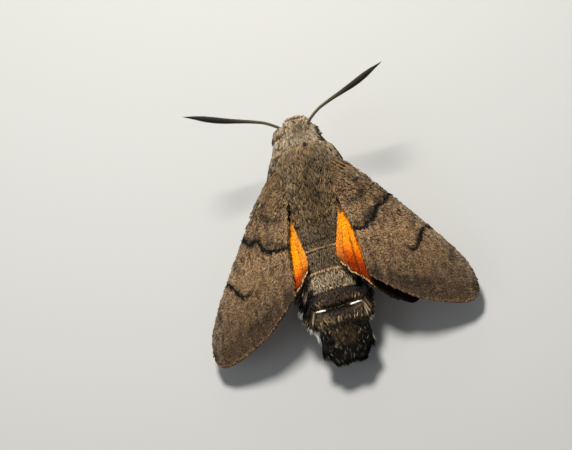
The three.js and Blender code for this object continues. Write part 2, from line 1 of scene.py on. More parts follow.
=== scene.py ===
"""A still, life-size hummingbird hawk moth, dressed over its solids.

Places on the body are [x, s, z] in millimetres: x out to the right, s backwards from the front of
the face, z up from the body's axis. Places on a wing are [p, q]: p outwards and q backwards from
its shoulder. Everything is made in metres, in the frame of the solids.
"""
from __future__ import annotations

import logging
import math
from collections.abc import Sequence
from dataclasses import dataclass, field, replace
from enum import Enum

import bpy
import numpy as np
from bpy.types import Material, Mesh, Node, NodeSocket, NodeTree, Object
from mathutils import Matrix, Vector


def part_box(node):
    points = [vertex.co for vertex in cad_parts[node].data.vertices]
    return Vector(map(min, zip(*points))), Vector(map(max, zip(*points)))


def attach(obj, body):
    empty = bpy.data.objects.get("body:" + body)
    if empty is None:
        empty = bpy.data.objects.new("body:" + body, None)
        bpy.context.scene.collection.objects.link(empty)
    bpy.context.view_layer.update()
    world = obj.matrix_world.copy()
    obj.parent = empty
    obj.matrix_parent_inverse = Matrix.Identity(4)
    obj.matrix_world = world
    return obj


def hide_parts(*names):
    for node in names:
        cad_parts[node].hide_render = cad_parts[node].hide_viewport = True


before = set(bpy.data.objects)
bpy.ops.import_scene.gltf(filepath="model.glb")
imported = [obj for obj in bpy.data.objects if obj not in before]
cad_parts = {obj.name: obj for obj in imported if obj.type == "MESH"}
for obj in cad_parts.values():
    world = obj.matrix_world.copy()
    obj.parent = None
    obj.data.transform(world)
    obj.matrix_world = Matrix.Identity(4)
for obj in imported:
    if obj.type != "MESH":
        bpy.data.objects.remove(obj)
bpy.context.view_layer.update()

Array = np.ndarray
Values = dict[str, Array]
Pair = tuple[float, float]
Triple = tuple[float, float, float]
MM = 0.001
TINY = 1e-12
LOG = logging.getLogger("moth")
BAKE_MAP = "OFBake"
ROOT_MAP = "root_map"
PATCH_SIZE = 0.003
BODY = "root"
CURVE_STEPS = 24
PATTERN_GRID = 64


class Side(Enum):
    """The two sides of the moth."""

    LEFT = "left"
    RIGHT = "right"

    @property
    def sign(self) -> int:
        """Which way the side lies along x."""
        return -1 if self is Side.LEFT else 1


class Slot(Enum):
    """The record's material slots."""

    HEAD = "head_fur"
    THORAX = "thorax_fur"
    ABDOMEN = "abdomen_fur"
    FAN = "fan_scales"
    FOREWING = "forewing_scales"
    HINDWING = "hindwing_scales"
    EYE = "eye_lens"
    ANTENNA = "antenna_scales"
    PALP = "palp_scales"
    PROBOSCIS = "proboscis_horn"
    LEG = "leg_scales"


# Numbers


def smooth(value: Array, low: float, high: float) -> Array:
    """Rises smoothly from 0 at low to 1 at high, or falls where high is the smaller."""
    share = np.clip((np.asarray(value, float) - low) / (high - low), 0, 1)
    return share * share * (3 - 2 * share)


def unit(vectors: Array) -> Array:
    """Vectors of length 1 the same way."""
    return vectors / np.maximum(np.linalg.norm(vectors, axis=-1, keepdims=True), TINY)


def curve_through(knots: Sequence[Sequence[float]], count: int) -> Array:
    """A smooth line through knots, with evenly spaced points.

    Args:
        knots: The places it passes through.
        count: How many points it gives.

    Returns:
        The points, count of them.
    """
    knots = np.array(knots, float)
    padded = np.vstack([2 * knots[0] - knots[1], knots, 2 * knots[-1] - knots[-2]])
    dense = []
    for i in range(len(knots) - 1):
        a, b, c, d = padded[i : i + 4]
        t = np.linspace(0, 1, CURVE_STEPS, endpoint=i == len(knots) - 2)[:, None]
        straight = 2 * b + (c - a) * t
        square = (2 * a - 5 * b + 4 * c - d) * t**2
        cube = (3 * b - a - 3 * c + d) * t**3
        dense.append((straight + square + cube) / 2)
    line = np.vstack(dense)
    walked = np.concatenate([[0], np.cumsum(np.linalg.norm(np.diff(line, axis=0), axis=1))])
    at = np.linspace(0, walked[-1], count)
    return np.stack([np.interp(at, walked, line[:, k]) for k in range(line.shape[1])], axis=1)


def along_path(values: Sequence[float], count: int) -> Array:
    """Spreads a few values evenly over count points of a path."""
    return np.interp(np.linspace(0, 1, count), np.linspace(0, 1, len(values)), values)


def distance_to(places: Array, line: Array) -> Array:
    """How far places in a plane lie from a line of points.

    Args:
        places: Places, shape (..., 2).
        line: The line's points.

    Returns:
        The distance of each place.
    """
    best = np.full(places.shape[:-1], np.inf)
    for a, b in zip(line[:-1], line[1:]):
        along = b - a
        share = np.clip((places - a) @ along / (along @ along), 0, 1)
        best = np.minimum(best, np.linalg.norm(places - a - share[..., None] * along, axis=-1))
    return best


# Patches of a marking


@dataclass(frozen=True)
class Fade:
    """A share that rises smoothly from 0 at low to 1 at high, or falls where high is the smaller."""

    low: float
    high: float

    def of(self, value: Array) -> Array:
        """The share at each value."""
        return smooth(value, self.low, self.high)


@dataclass(frozen=True)
class Stretch:
    """A share that is 1 from start to end, and fades over blur before and fall behind it."""

    start: float
    end: float
    blur: float
    fall: float = 0

    def of(self, value: Array) -> Array:
        """The share at each value."""
        gone = self.end + (self.fall or self.blur)
        return smooth(value, self.start - self.blur, self.start) * smooth(value, gone, self.end)


@dataclass(frozen=True)
class Glow:
    """A share that is 1 at its middle and dies away over its reach."""

    reach: float
    middle: float = 0

    def of(self, value: Array) -> Array:
        """The share at each value."""
        return np.exp(-(((value - self.middle) / self.reach) ** 2))


@dataclass(frozen=True)
class Past:
    """A share that is 1 past a limit and 0 before it."""

    limit: float

    def of(self, value: Array) -> Array:
        """The share at each value."""
        return (value > self.limit).astype(float)


@dataclass(frozen=True)
class Pattern:
    """Smooth random values from 0 to 1 over places, with humps a size apart in the places' own unit.

    The places are squeezed first. The values may then be faded, or be 1 only over a limit, and from
    the least value on they count by the gain.
    """

    size: float
    seed: int
    squeeze: tuple[float, ...] = ()
    fade: Fade | None = None
    over: float | None = None
    least: float = 0
    gain: float | None = None

    def draw(self, places: Array) -> Array:
        """Reads the random values at places with two or three numbers each."""
        table = np.random.default_rng(self.seed).random((PATTERN_GRID,) * places.shape[-1])
        at = (places * np.array(self.squeeze) if self.squeeze else places) / self.size
        low = np.floor(at).astype(int)
        part = at - low
        part = part * part * (3 - 2 * part)
        total = np.zeros(places.shape[:-1])
        for corner in np.ndindex(*(2,) * places.shape[-1]):
            step = np.array(corner)
            weight = np.prod(np.where(step, part, 1 - part), axis=-1)
            total += weight * table[tuple(np.moveaxis((low + step) % PATTERN_GRID, -1, 0))]
        return total

    def at(self, places: Array) -> Array:
        """Reads the pattern at places."""
        value = self.draw(places)
        if self.fade is not None:
            value = self.fade.of(value)
        if self.over is not None:
            value = value > self.over
        return self.least + (1 - self.least if self.gain is None else self.gain) * value

    def shift(self, places: Array, reach: float) -> Array:
        """Random shifts, by half of reach either way."""
        return reach * (self.draw(places) - 0.5)


@dataclass(frozen=True)
class Patch:
    """One patch of a marking: where it lies, how strong it is, and the patterns that break it up."""

    where: dict[str, Fade | Stretch | Glow | Past]
    strength: float = 1
    patterns: tuple[Pattern, ...] = ()

    def mask(self, measures: Values, places: Array) -> Array:
        """Works out how much of the patch there is at each place.

        Args:
            measures: The values that the patch's own fades, stretches and glows are of.
            places: The places that its patterns are read at.

        Returns:
            The patch's share, up to its strength.
        """
        total = np.full(places.shape[:-1], float(self.strength))
        for key, share in self.where.items():
            total = total * share.of(measures[key])
        for pattern in self.patterns:
            total = total * pattern.at(places)
        return total


def add_up(marks: dict[str, tuple[Patch, ...]], measures: Values, places: Array) -> Values:
    """Adds up the patches of each marking, at places with the measures that the patches need."""
    return {key: sum(patch.mask(measures, places) for patch in patches) for key, patches in marks.items()}


# Stance and outline


EYE_CENTRE = (1.38, 2.1, -0.15)
EYE_RADIUS = 1.15
BODY_PITCH = math.radians(6)


@dataclass(frozen=True)
class Stance:
    """How the moth's own directions lie in the frame."""

    origin: Array
    pitch: float = BODY_PITCH

    @classmethod
    def read(cls) -> Stance:
        """Finds the stance from where the eyes are."""
        corners = [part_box(f"eye_{side.value}") for side in Side]
        middle = np.mean([np.array(corner) for pair in corners for corner in pair], axis=0)
        eye = np.array([0, *EYE_CENTRE[1:]])
        return cls(middle - cls(np.zeros(3)).place(eye))

    def direction(self, ways: Array) -> Array:
        """Turns body directions (x, s, z) into directions of the frame."""
        x, s, z = np.moveaxis(np.asarray(ways, float), -1, 0)
        c, n = math.cos(self.pitch), math.sin(self.pitch)
        return np.stack([x, -s * c - z * n, -s * n + z * c], axis=-1)

    def place(self, places: Array) -> Array:
        """Turns body places in millimetres into places of the frame in metres."""
        return self.direction(places) * MM + self.origin


@dataclass(frozen=True)
class Outline:
    """Half width, height above and depth below the axis at stations along the body."""

    stations: tuple[tuple[float, float, float, float], ...]
    roundness: float = 2.15

    def at(self, s: Array) -> tuple[Array, Array, Array]:
        """Reads the outline.

        Args:
            s: How far back, in millimetres.

        Returns:
            Half width, height above and depth below.
        """
        rows = np.array(self.stations)
        t = rows[:, 0]
        slopes = np.gradient(rows[:, 1:], t, axis=0)
        i = np.clip(np.searchsorted(t, s, side="right") - 1, 0, len(t) - 2)
        span = (t[i + 1] - t[i])[..., None]
        h = np.clip((s - t[i]) / (t[i + 1] - t[i]), 0, 1)[..., None]
        start = 2 * h**3 - 3 * h**2 + 1
        value = start * rows[i, 1:] + (1 - start) * rows[i + 1, 1:]
        value = value + span * ((h**3 - 2 * h**2 + h) * slopes[i] + (h**3 - h**2) * slopes[i + 1])
        return value[..., 0], value[..., 1], value[..., 2]

    def ring(self, s: Array, angle: Array, depth: Array) -> Array:
        """Places on the body's surface.

        Args:
            s: How far back.
            angle: Round the body, from its right side upwards.
            depth: How far under the outline.

        Returns:
            Body places.
        """
        half, top, bottom = self.at(s)
        power = 2 / self.roundness
        across, up = np.cos(angle), np.sin(angle)
        height = np.where(up > 0, top, bottom) - depth
        x = np.sign(across) * np.abs(across) ** power * (half - depth)
        return np.stack([x, s, np.sign(up) * np.abs(up) ** power * height], axis=-1)


TRUNK = Outline((
    (-0.35, 0.5, 0.6, 0.6), (-0.1, 1.15, 1.1, 1.1), (0.5, 1.85, 1.7, 1.65), (1.3, 2.25, 2.1, 2.0),
    (2.4, 2.4, 2.35, 2.15), (3.6, 2.8, 2.7, 2.4), (5.0, 3.6, 3.6, 3.1), (6.5, 4.1, 4.15, 3.6),
    (8.0, 4.2, 4.3, 3.8), (10.0, 3.95, 4.05, 3.75), (12.0, 3.6, 3.4, 3.4), (14.0, 3.4, 2.75, 3.1),
    (16.0, 3.4, 2.5, 3.05), (19.0, 3.5, 2.45, 3.0), (21.5, 3.4, 2.35, 2.85), (23.5, 3.1, 2.1, 2.55),
    (25.2, 2.8, 1.7, 2.05), (26.2, 2.8, 1.25, 1.5), (27.3, 2.65, 0.7, 0.85), (28.2, 2.2, 0.45, 0.5),
    (28.9, 1.8, 0.3, 0.3),
))


# Meshes


@dataclass
class Sheet:
    """A grid of places, with the values kept at each of them."""

    places: Array
    values: Values = field(default_factory=dict)
    closed: bool = False
    capped: bool = False

    @property
    def shape(self) -> tuple[int, int]:
        """Rows and columns."""
        return self.places.shape[:2]

    def faces(self) -> tuple[Array, Array]:
        """Lists the grid's quads.

        Returns:
            The quads, and for each of their corners its share along the columns and rows.
        """
        rows, columns = self.shape
        wide = columns if self.closed else columns - 1
        r, c = (k.ravel() for k in np.meshgrid(np.arange(rows - 1), np.arange(wide), indexing="ij"))
        near, far = r * columns, (r + 1) * columns
        following = (c + 1) % columns
        quads = np.stack([near + c, near + following, far + following, far + c], 1)
        u = np.stack([c, c + 1, c + 1, c], 1) / wide
        v = np.stack([r, r, r + 1, r + 1], 1) / (rows - 1)
        return quads, np.stack([u, v], axis=2)

    def caps(self) -> tuple[list[Array], Array]:
        """Closes both ends of a tube with a fan of triangles.

        Returns:
            The two middle places, and the triangles.
        """
        rows, columns = self.shape
        first = rows * columns
        middles = [self.places[0].mean(axis=0), self.places[-1].mean(axis=0)]
        k = np.arange(columns)
        following = (k + 1) % columns
        last = (rows - 1) * columns
        front = np.stack([following, k, np.full(columns, first)], 1)
        back = np.stack([last + k, last + following, np.full(columns, first + 1)], 1)
        return middles, np.vstack([front, back])


def link_object(name: str, mesh: Mesh) -> Object:
    """Puts a mesh in the scene as an object."""
    made = bpy.data.objects.new(name, mesh)
    bpy.context.scene.collection.objects.link(made)
    return made


def set_aside(made: Object) -> Object:
    """Takes an object that others copy out of the scene."""
    bpy.context.scene.collection.objects.unlink(made)
    return made


def new_mesh(name: str, points: Array, faces: Sequence[Sequence[int]], values: Values | None = None,
             uv: Array | None = None, map_name: str = BAKE_MAP) -> Object:
    """Makes an object from points and faces.

    Args:
        name: The object's name.
        points: Places in metres.
        faces: Corner indices of each face.
        values: Numbers or vectors kept at each point.
        uv: A place on the map for each corner, or None.
        map_name: The map's name.

    Returns:
        The object, linked to the scene.
    """
    mesh = bpy.data.meshes.new(name)
    mesh.from_pydata(points.tolist(), [], faces)
    if uv is not None:
        mesh.uv_layers.new(name=map_name).data.foreach_set("uv", uv.ravel())
    for key, data in (values or {}).items():
        kind, slot = ("FLOAT_VECTOR", "vector") if data.ndim == 2 else ("FLOAT", "value")
        mesh.attributes.new(key, kind, "POINT").data.foreach_set(slot, data.astype(np.float32).ravel())
    mesh.shade_smooth()
    return link_object(name, mesh)


def flip_if_inward(made: Object, outward: Array) -> None:
    """Turns all the faces round where they look against a direction on the whole.

    Args:
        made: The object.
        outward: The direction that each face should roughly look, or one for them all.
    """
    mesh = made.data
    normals = np.zeros(len(mesh.polygons) * 3)
    mesh.polygons.foreach_get("normal", normals)
    if (normals.reshape(-1, 3) * outward).sum() < 0:
        mesh.flip_normals()


def sheet_object(name: str, sheet: Sheet, map_name: str = BAKE_MAP) -> Object:
    """Makes an object from one sheet.

    Args:
        name: The object's name.
        sheet: The grid.
        map_name: The name of its map.

    Returns:
        The object, with its faces looking away from the sheet's middle line where it is closed.
    """
    quads, uv = sheet.faces()
    points, uv, faces = sheet.places.reshape(-1, 3), uv.reshape(-1, 2), quads.tolist()
    values = {key: data.reshape(-1, *data.shape[2:]) for key, data in sheet.values.items()}
    if sheet.capped:
        middles, fans = sheet.caps()
        points = np.vstack([points, middles])
        faces += fans.tolist()
        corners = 3 * sheet.shape[1]
        uv = np.vstack([uv, *(np.tile([[0.5, end]], (corners, 1)) for end in (0.0, 1.0))])
        for key, data in sheet.values.items():
            values[key] = np.concatenate([values[key], data[[0, -1]].mean(axis=1)])
    made = new_mesh(name, points, faces, values, uv, map_name)
    if sheet.closed:
        middle_line = np.repeat(sheet.places.mean(axis=1), sheet.shape[1], axis=0)
        corners = quads[:, 0]
        outward = np.zeros((len(faces), 3))
        outward[: len(quads)] = unit(points[corners] - middle_line[corners])
        flip_if_inward(made, outward)
    return made


def plate_object(name: str, top: Sheet, bottom: Sheet, up: Array) -> Object:
    """Joins two like sheets round their rims into one closed plate.

    Args:
        name: The object's name.
        top: Upper sheet.
        bottom: Lower sheet, with as many places.
        up: The way the upper sheet looks.

    Returns:
        The object.
    """
    rows, columns = top.shape
    quads, uv = top.faces()
    count = rows * columns
    grid = np.arange(count).reshape(rows, columns)
    rim = np.concatenate([grid[0, :-1], grid[:-1, -1], grid[-1, :0:-1], grid[:0:-1, 0]])
    following = np.roll(rim, -1)
    side = np.stack([rim, following, following + count, rim + count], 1)
    share = np.stack([grid % columns / (columns - 1), grid // columns / (rows - 1)], axis=2).reshape(-1, 2)
    edge_uv = np.stack([share[rim], share[following], share[following], share[rim]], 1)
    half = np.array([0.5, 1.0])
    under_uv = uv[:, ::-1] * half + np.array([0.5, 0])
    faces = quads.tolist() + (quads[:, ::-1] + count).tolist() + side.tolist()
    maps = np.concatenate([uv * half, under_uv, edge_uv * half]).reshape(-1, 2)
    points = np.vstack([top.places.reshape(-1, 3), bottom.places.reshape(-1, 3)])
    values = {}
    for key, data in top.values.items():
        values[key] = np.concatenate([data.ravel(), bottom.values[key].ravel()])
    made = new_mesh(name, points, faces, values, maps)
    flip_if_inward(made, np.repeat([up, -up, 0 * up], (len(quads), len(quads), len(side)), axis=0))
    return made


def dress(made: Object, slot: Slot, *replaced: str,
          finish: Material | None = None) -> Object:
    """Sets a finished piece on the body and hides the solids that it stands for.

    Args:
        made: The piece.
        slot: Not used.
        *replaced: Solids that it stands for.
        finish: Its material, where it has none yet.

    Returns:
        The piece.
    """
    if finish is not None:
        made.data.materials.append(finish)
    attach(made, BODY)
    if replaced:
        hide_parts(*replaced)
    made.data.calc_loop_triangles()
    LOG.info("%s: %d triangles", made.name, len(made.data.loop_triangles))
    return made


# Node trees


NUMBER = "NodeSocketFloat"
WHOLE = "NodeSocketInt"
COLOUR = "NodeSocketColor"
FINISH = ("NodeSocketMaterial", None)
COPIED = ("NodeSocketObject", None)


class Nodes:
    """Builds one node tree, picking sockets by name among those in use."""

    def __init__(self, tree: NodeTree) -> None:
        """Works on a tree."""
        self.tree = tree

    @staticmethod
    def pick(sockets: Sequence[NodeSocket], name: str | int) -> NodeSocket:
        """Finds the enabled socket of a name, or the one at an index among the enabled ones."""
        live = [socket for socket in sockets if socket.enabled]
        names = [socket.name for socket in live]
        return live[name if isinstance(name, int) else names.index(name)]

    def feed(self, node: Node, inputs: dict) -> None:
        """Sets a node's inputs to values, or links other nodes' outputs to them."""
        for name, value in inputs.items():
            socket = self.pick(node.inputs, name)
            if isinstance(value, NodeSocket):
                self.tree.links.new(value, socket)
            else:
                socket.default_value = value

    def node(self, kind: str, inputs: dict | None = None, **settings: object) -> Node:
        """Adds a node.

        Args:
            kind: The node's type.
            inputs: For each socket's name or index, a value or another node's output.
            **settings: The node's own choices.

        Returns:
            The node.
        """
        node = self.tree.nodes.new(kind)
        for key, value in settings.items():
            setattr(node, key, value)
        self.feed(node, inputs or {})
        return node

    def add(self, kind: str, inputs: dict | None = None, out: str | int = 0,
            **settings: object) -> NodeSocket:
        """Adds a node in the same way, and gives back the output of a name or an index."""
        return self.pick(self.node(kind, inputs, **settings).outputs, out)

    def math(self, operation: str, *values: object) -> NodeSocket:
        """Works out one number from others."""
        return self.add("ShaderNodeMath", dict(enumerate(values)), operation=operation)

    def vector(self, operation: str, *values: object) -> NodeSocket:
        """Works out one vector from others."""
        return self.add("ShaderNodeVectorMath", dict(enumerate(values)), operation=operation)

    def scaled(self, vector: object, scale: object) -> NodeSocket:
        """Makes a vector longer or shorter."""
        return self.add("ShaderNodeVectorMath", {0: vector, "Scale": scale}, operation="SCALE")

    def mixed(self, share: object, under: object, over: object) -> NodeSocket:
        """Covers one colour with a share of another."""
        inputs = {"Factor": share, "A": under, "B": over}
        return self.add("ShaderNodeMix", inputs, out="Result", data_type="RGBA")

    def ranged(self, value: object, start: object, end: object, low: object = 0.0,
               high: object = 1.0) -> NodeSocket:
        """Turns a number between start and end into one between low and high."""
        return self.add("ShaderNodeMapRange", {
            "Value": value, "From Min": start, "From Max": end, "To Min": low, "To Max": high})

    def kept(self, name: str, out: str = "Fac") -> NodeSocket:
        """Reads a value that the mesh keeps, in a shader."""
        return self.add("ShaderNodeAttribute", out=out, attribute_name=name)


class SurfaceTree:
    """A geometry tree with named inputs, run on a mesh for a plain mesh with its material set."""

    SCRATCH: tuple[str, ...] = ()
    ROUNDED = True

    def __init__(self, name: str, sizes: dict[str, tuple[str, object]]) -> None:
        """Builds the tree.

        Args:
            name: The tree's name.
            sizes: For each input's name, its socket type and default.
        """
        self.tree = bpy.data.node_groups.new(name, "GeometryNodeTree")
        socket = self.tree.interface.new_socket
        for way in ("INPUT", "OUTPUT"):
            socket("Geometry", in_out=way, socket_type="NodeSocketGeometry")
        self.inputs = {}
        for key, (kind, default) in sizes.items():
            made = socket(key, in_out="INPUT", socket_type=kind)
            if default is not None:
                made.default_value = default
            self.inputs[key] = made.identifier
        self.nodes = Nodes(self.tree)
        self.group = self.tree.nodes.new("NodeGroupInput").outputs
        dressed = self.nodes.add("GeometryNodeSetMaterial", {
            "Geometry": self.shape(), "Material": self.group["Finish"]})
        self.tree.links.new(dressed, self.tree.nodes.new("NodeGroupOutput").inputs["Geometry"])

    def shape(self) -> NodeSocket:
        """Places the nodes that make the shape, with its instances realized."""
        raise NotImplementedError

    def strewn(self, **inputs: NodeSocket) -> NodeSocket:
        """Sets an instance on each point and realizes them."""
        instances = self.nodes.add("GeometryNodeInstanceOnPoints", inputs)
        return self.nodes.add("GeometryNodeRealizeInstances", {"Geometry": instances})

    def copied(self, name: str) -> NodeSocket:
        """Reads the geometry of an input object."""
        return self.nodes.add("GeometryNodeObjectInfo", {"Object": self.group[name]}, out="Geometry",
                              transform_space="ORIGINAL")

    def run(self, bed: Object, name: str, sizes: dict[str, object]) -> Object:
        """Runs the tree on an object and takes that object away.

        Args:
            bed: The object.
            name: The result's name.
            sizes: A value for each named input.

        Returns:
            The result as a plain mesh.
        """
        modifier = bed.modifiers.new("tree", "NODES")
        modifier.node_group = self.tree
        for key, size in sizes.items():
            modifier[self.inputs[key]] = size
        depsgraph = bpy.context.evaluated_depsgraph_get()
        mesh = bpy.data.meshes.new_from_object(bed.evaluated_get(depsgraph), depsgraph=depsgraph)
        old = bed.data
        bpy.data.objects.remove(bed)
        bpy.data.meshes.remove(old)
        mesh.name = name
        for key in self.SCRATCH:
            if key in mesh.attributes:
                mesh.attributes.remove(mesh.attributes[key])
        if self.ROUNDED:
            mesh.shade_smooth()
        return link_object(name, mesh)


class TuftTree(SurfaceTree):
    """Sets tufts over a surface: they follow its lie, and each keeps a patch of the map at its root."""

    SCRATCH = ("cover", "lie", "rise", "reach", ROOT_MAP, "up")
    LOCK_FINENESS = 3.0
    LOCK_SHIFT = (7.3, 1.1, 4.7)
    LOCK_NOISE = (0.34, 0.66)
    LOCK_LIFT = (0.6, 0.85)
    SHADE_FROM_DRAW = 0.8
    SHADE_FROM_LOCK = 0.2
    SWIRL_GAIN = 4.0
    LIFTS = (0.5, 1.1)
    LENGTHS = (0.75, 1.15)
    WIDTHS = (0.75, 1.25)

    def __init__(self) -> None:
        """Builds the tree."""
        super().__init__("tufts_over_surface", {
            "Tuft": COPIED, "Density": (NUMBER, 1.0), "Seed": (WHOLE, 1), "Width": (NUMBER, 0.0001),
            "Length": (NUMBER, 0.001), "Lift": (NUMBER, 0.3), "Stray": (NUMBER, 0.2),
            "Swirl": (NUMBER, 0.3), "Swirl Size": (NUMBER, 0.001), "Sink": (NUMBER, 0.00005),
            "Finish": FINISH,
        })

    def read(self, name: str, kind: str = "FLOAT") -> NodeSocket:
        """Reads a value kept on the surface."""
        return self.nodes.add("GeometryNodeInputNamedAttribute", {"Name": name}, data_type=kind)

    def store(self, geometry: NodeSocket, name: str, value: NodeSocket, kind: str,
              domain: str = "POINT") -> NodeSocket:
        """Keeps a value on a geometry."""
        inputs = {"Geometry": geometry, "Name": name, "Value": value}
        return self.nodes.add("GeometryNodeStoreNamedAttribute", inputs, data_type=kind, domain=domain)

    def draw(self, low: float, high: float, step: int) -> NodeSocket:
        """Draws a number between low and high for each tuft."""
        seed = self.nodes.math("ADD", self.group["Seed"], step)
        return self.nodes.add("FunctionNodeRandomValue", {"Min": low, "Max": high, "Seed": seed})

    def noise(self, places: NodeSocket) -> NodeSocket:
        """Reads smooth noise with humps one unit across."""
        return self.nodes.add("ShaderNodeTexNoise", {"Vector": places, "Scale": 1.0, "Detail": 1.0})

    def turned(self, first: NodeSocket, second: NodeSocket,
               angle: NodeSocket) -> NodeSocket:
        """Turns a direction by an angle towards another that is square to it."""
        n = self.nodes
        ahead = n.scaled(first, n.math("COSINE", angle))
        return n.vector("ADD", ahead, n.scaled(second, n.math("SINE", angle)))

    def shape(self) -> NodeSocket:
        """Places the nodes."""
        n, group = self.nodes, self.group
        scatter = n.node("GeometryNodeDistributePointsOnFaces", {
            "Mesh": group["Geometry"], "Density": n.math("MULTIPLY", group["Density"], self.read("cover")),
            "Seed": group["Seed"]})
        place = n.scaled(n.add("GeometryNodeInputPosition"), n.math("DIVIDE", 1.0, group["Swirl Size"]))
        lock_place = n.vector("ADD", n.scaled(place, self.LOCK_FINENESS), self.LOCK_SHIFT)
        lock = n.ranged(self.noise(lock_place), *self.LOCK_NOISE)
        shade = n.math("ADD", n.math("MULTIPLY", self.draw(0.0, 1.0, 3), self.SHADE_FROM_DRAW),
                       n.math("MULTIPLY", lock, self.SHADE_FROM_LOCK))
        kept = self.store(scatter.outputs["Points"], "up", scatter.outputs["Normal"], "FLOAT_VECTOR")
        kept = self.store(kept, "shade", shade, "FLOAT")
        up = self.read("up", "FLOAT_VECTOR")
        lie = n.vector("NORMALIZE", self.read("lie", "FLOAT_VECTOR"))
        across = n.vector("NORMALIZE", n.vector("CROSS_PRODUCT", up, lie))
        swirl = n.math("MULTIPLY", n.math("SUBTRACT", self.noise(place), 0.5),
                       n.math("MULTIPLY", group["Swirl"], self.SWIRL_GAIN))
        stray = n.math("MULTIPLY", group["Stray"], self.draw(-1.0, 1.0, 1))
        flat = self.turned(lie, across, n.math("ADD", swirl, stray))
        lift = n.math("MULTIPLY", group["Lift"], self.read("rise"))
        lift = n.math("MULTIPLY", lift, self.draw(*self.LIFTS, 2))
        lift = n.math("MULTIPLY", lift, n.math("MULTIPLY_ADD", lock, *self.LOCK_LIFT))
        ahead = self.turned(flat, up, lift)
        rotation = n.add("FunctionNodeAxesToRotation", {"Primary Axis": ahead, "Secondary Axis": up},
                         primary_axis="Y", secondary_axis="Z")
        length = n.math("MULTIPLY", group["Length"], self.read("reach"))
        length = n.math("MULTIPLY", length, self.draw(*self.LENGTHS, 4))
        width = n.math("MULTIPLY", group["Width"], self.draw(*self.WIDTHS, 5))
        sunk = n.add("GeometryNodeSetPosition", {
            "Geometry": kept, "Offset": n.scaled(up, n.math("MULTIPLY", group["Sink"], -1.0))})
        size = n.add("ShaderNodeCombineXYZ", {"X": width, "Y": length, "Z": length})
        real = self.strewn(Points=sunk, Instance=self.copied("Tuft"), Rotation=rotation, Scale=size)
        patch = n.vector("SUBTRACT", self.read("blade", "FLOAT_VECTOR"), (0.5, 0.5, 0.0))
        spot = n.vector("ADD", self.read(ROOT_MAP, "FLOAT_VECTOR"), n.scaled(patch, PATCH_SIZE))
        return self.store(real, BAKE_MAP, spot, "FLOAT2", "CORNER")


class PathTree(SurfaceTree):
    """Strings segments along a path, each as thick as the path's girth there."""

    SCRATCH = ("girth",)

    def __init__(self) -> None:
        """Builds the tree."""
        super().__init__("segments_along_path", {
            "Segment": COPIED, "Count": (WHOLE, 40), "Reach": (NUMBER, 0.0003), "Finish": FINISH})

    def shape(self) -> NodeSocket:
        """Places the nodes."""
        n, group = self.nodes, self.group
        line = n.add("GeometryNodeMeshToCurve", {"Mesh": group["Geometry"]})
        line = n.add("GeometryNodeResampleCurve", {"Curve": line, "Count": group["Count"]})
        girth = n.add("GeometryNodeInputNamedAttribute", {"Name": "girth"}, data_type="FLOAT")
        tangent = n.add("GeometryNodeInputTangent")
        turned = n.add("FunctionNodeAlignRotationToVector", {"Vector": tangent}, axis="Z")
        size = n.add("ShaderNodeCombineXYZ", {"X": girth, "Y": girth, "Z": group["Reach"]})
        return self.strewn(Points=line, Instance=self.copied("Segment"), Rotation=turned, Scale=size)

    def string(self, name: str, path: Array, girth: Array, segment: Object, count: int,
               overlap: float, finish: Material) -> Object:
        """Makes one string of segments.

        Args:
            name: The piece's name.
            path: Points along its middle, in metres.
            girth: Its radius at each of them, in metres.
            segment: The segment, one unit in radius and length.
            count: How many segments.
            overlap: How much longer each is than its share of the path.
            finish: The segments' finish.

        Returns:
            The piece as a plain mesh.
        """
        mesh = bpy.data.meshes.new(name)
        mesh.from_pydata(path.tolist(), [(i, i + 1) for i in range(len(path) - 1)], [])
        for key, data in (("girth", girth), ("share", np.linspace(0, 1, len(path)))):
            mesh.attributes.new(key, "FLOAT", "POINT").data.foreach_set("value", data.astype(np.float32))
        length = np.linalg.norm(np.diff(path, axis=0), axis=1).sum()
        return self.run(link_object(name, mesh), name, {
            "Segment": segment, "Count": count, "Reach": length / (count - 1) * overlap, "Finish": finish})


class FacetTree(SurfaceTree):
    """Covers a ball with raised six-sided facets."""

    ROUNDED = False

    def __init__(self) -> None:
        """Builds the tree."""
        super().__init__("facets_over_ball", {
            "Radius": (NUMBER, 0.001), "Fineness": (WHOLE, 5), "Rise": (NUMBER, 0.00001),
            "Crown": (NUMBER, 0.8), "Finish": FINISH})

    def shape(self) -> NodeSocket:
        """Places the nodes."""
        n, group = self.nodes, self.group
        ball = n.add("GeometryNodeMeshIcoSphere", {
            "Radius": group["Radius"], "Subdivisions": group["Fineness"]})
        cells = n.add("GeometryNodeDualMesh", {"Mesh": ball})
        raised = n.node("GeometryNodeExtrudeMesh", {"Mesh": cells, "Offset Scale": group["Rise"]})
        crowned = n.add("GeometryNodeScaleElements", {
            "Geometry": raised.outputs["Mesh"], "Selection": raised.outputs["Top"],
            "Scale": group["Crown"]})
        return n.add("GeometryNodeRealizeInstances", {"Geometry": crowned})


# Tufts and segments


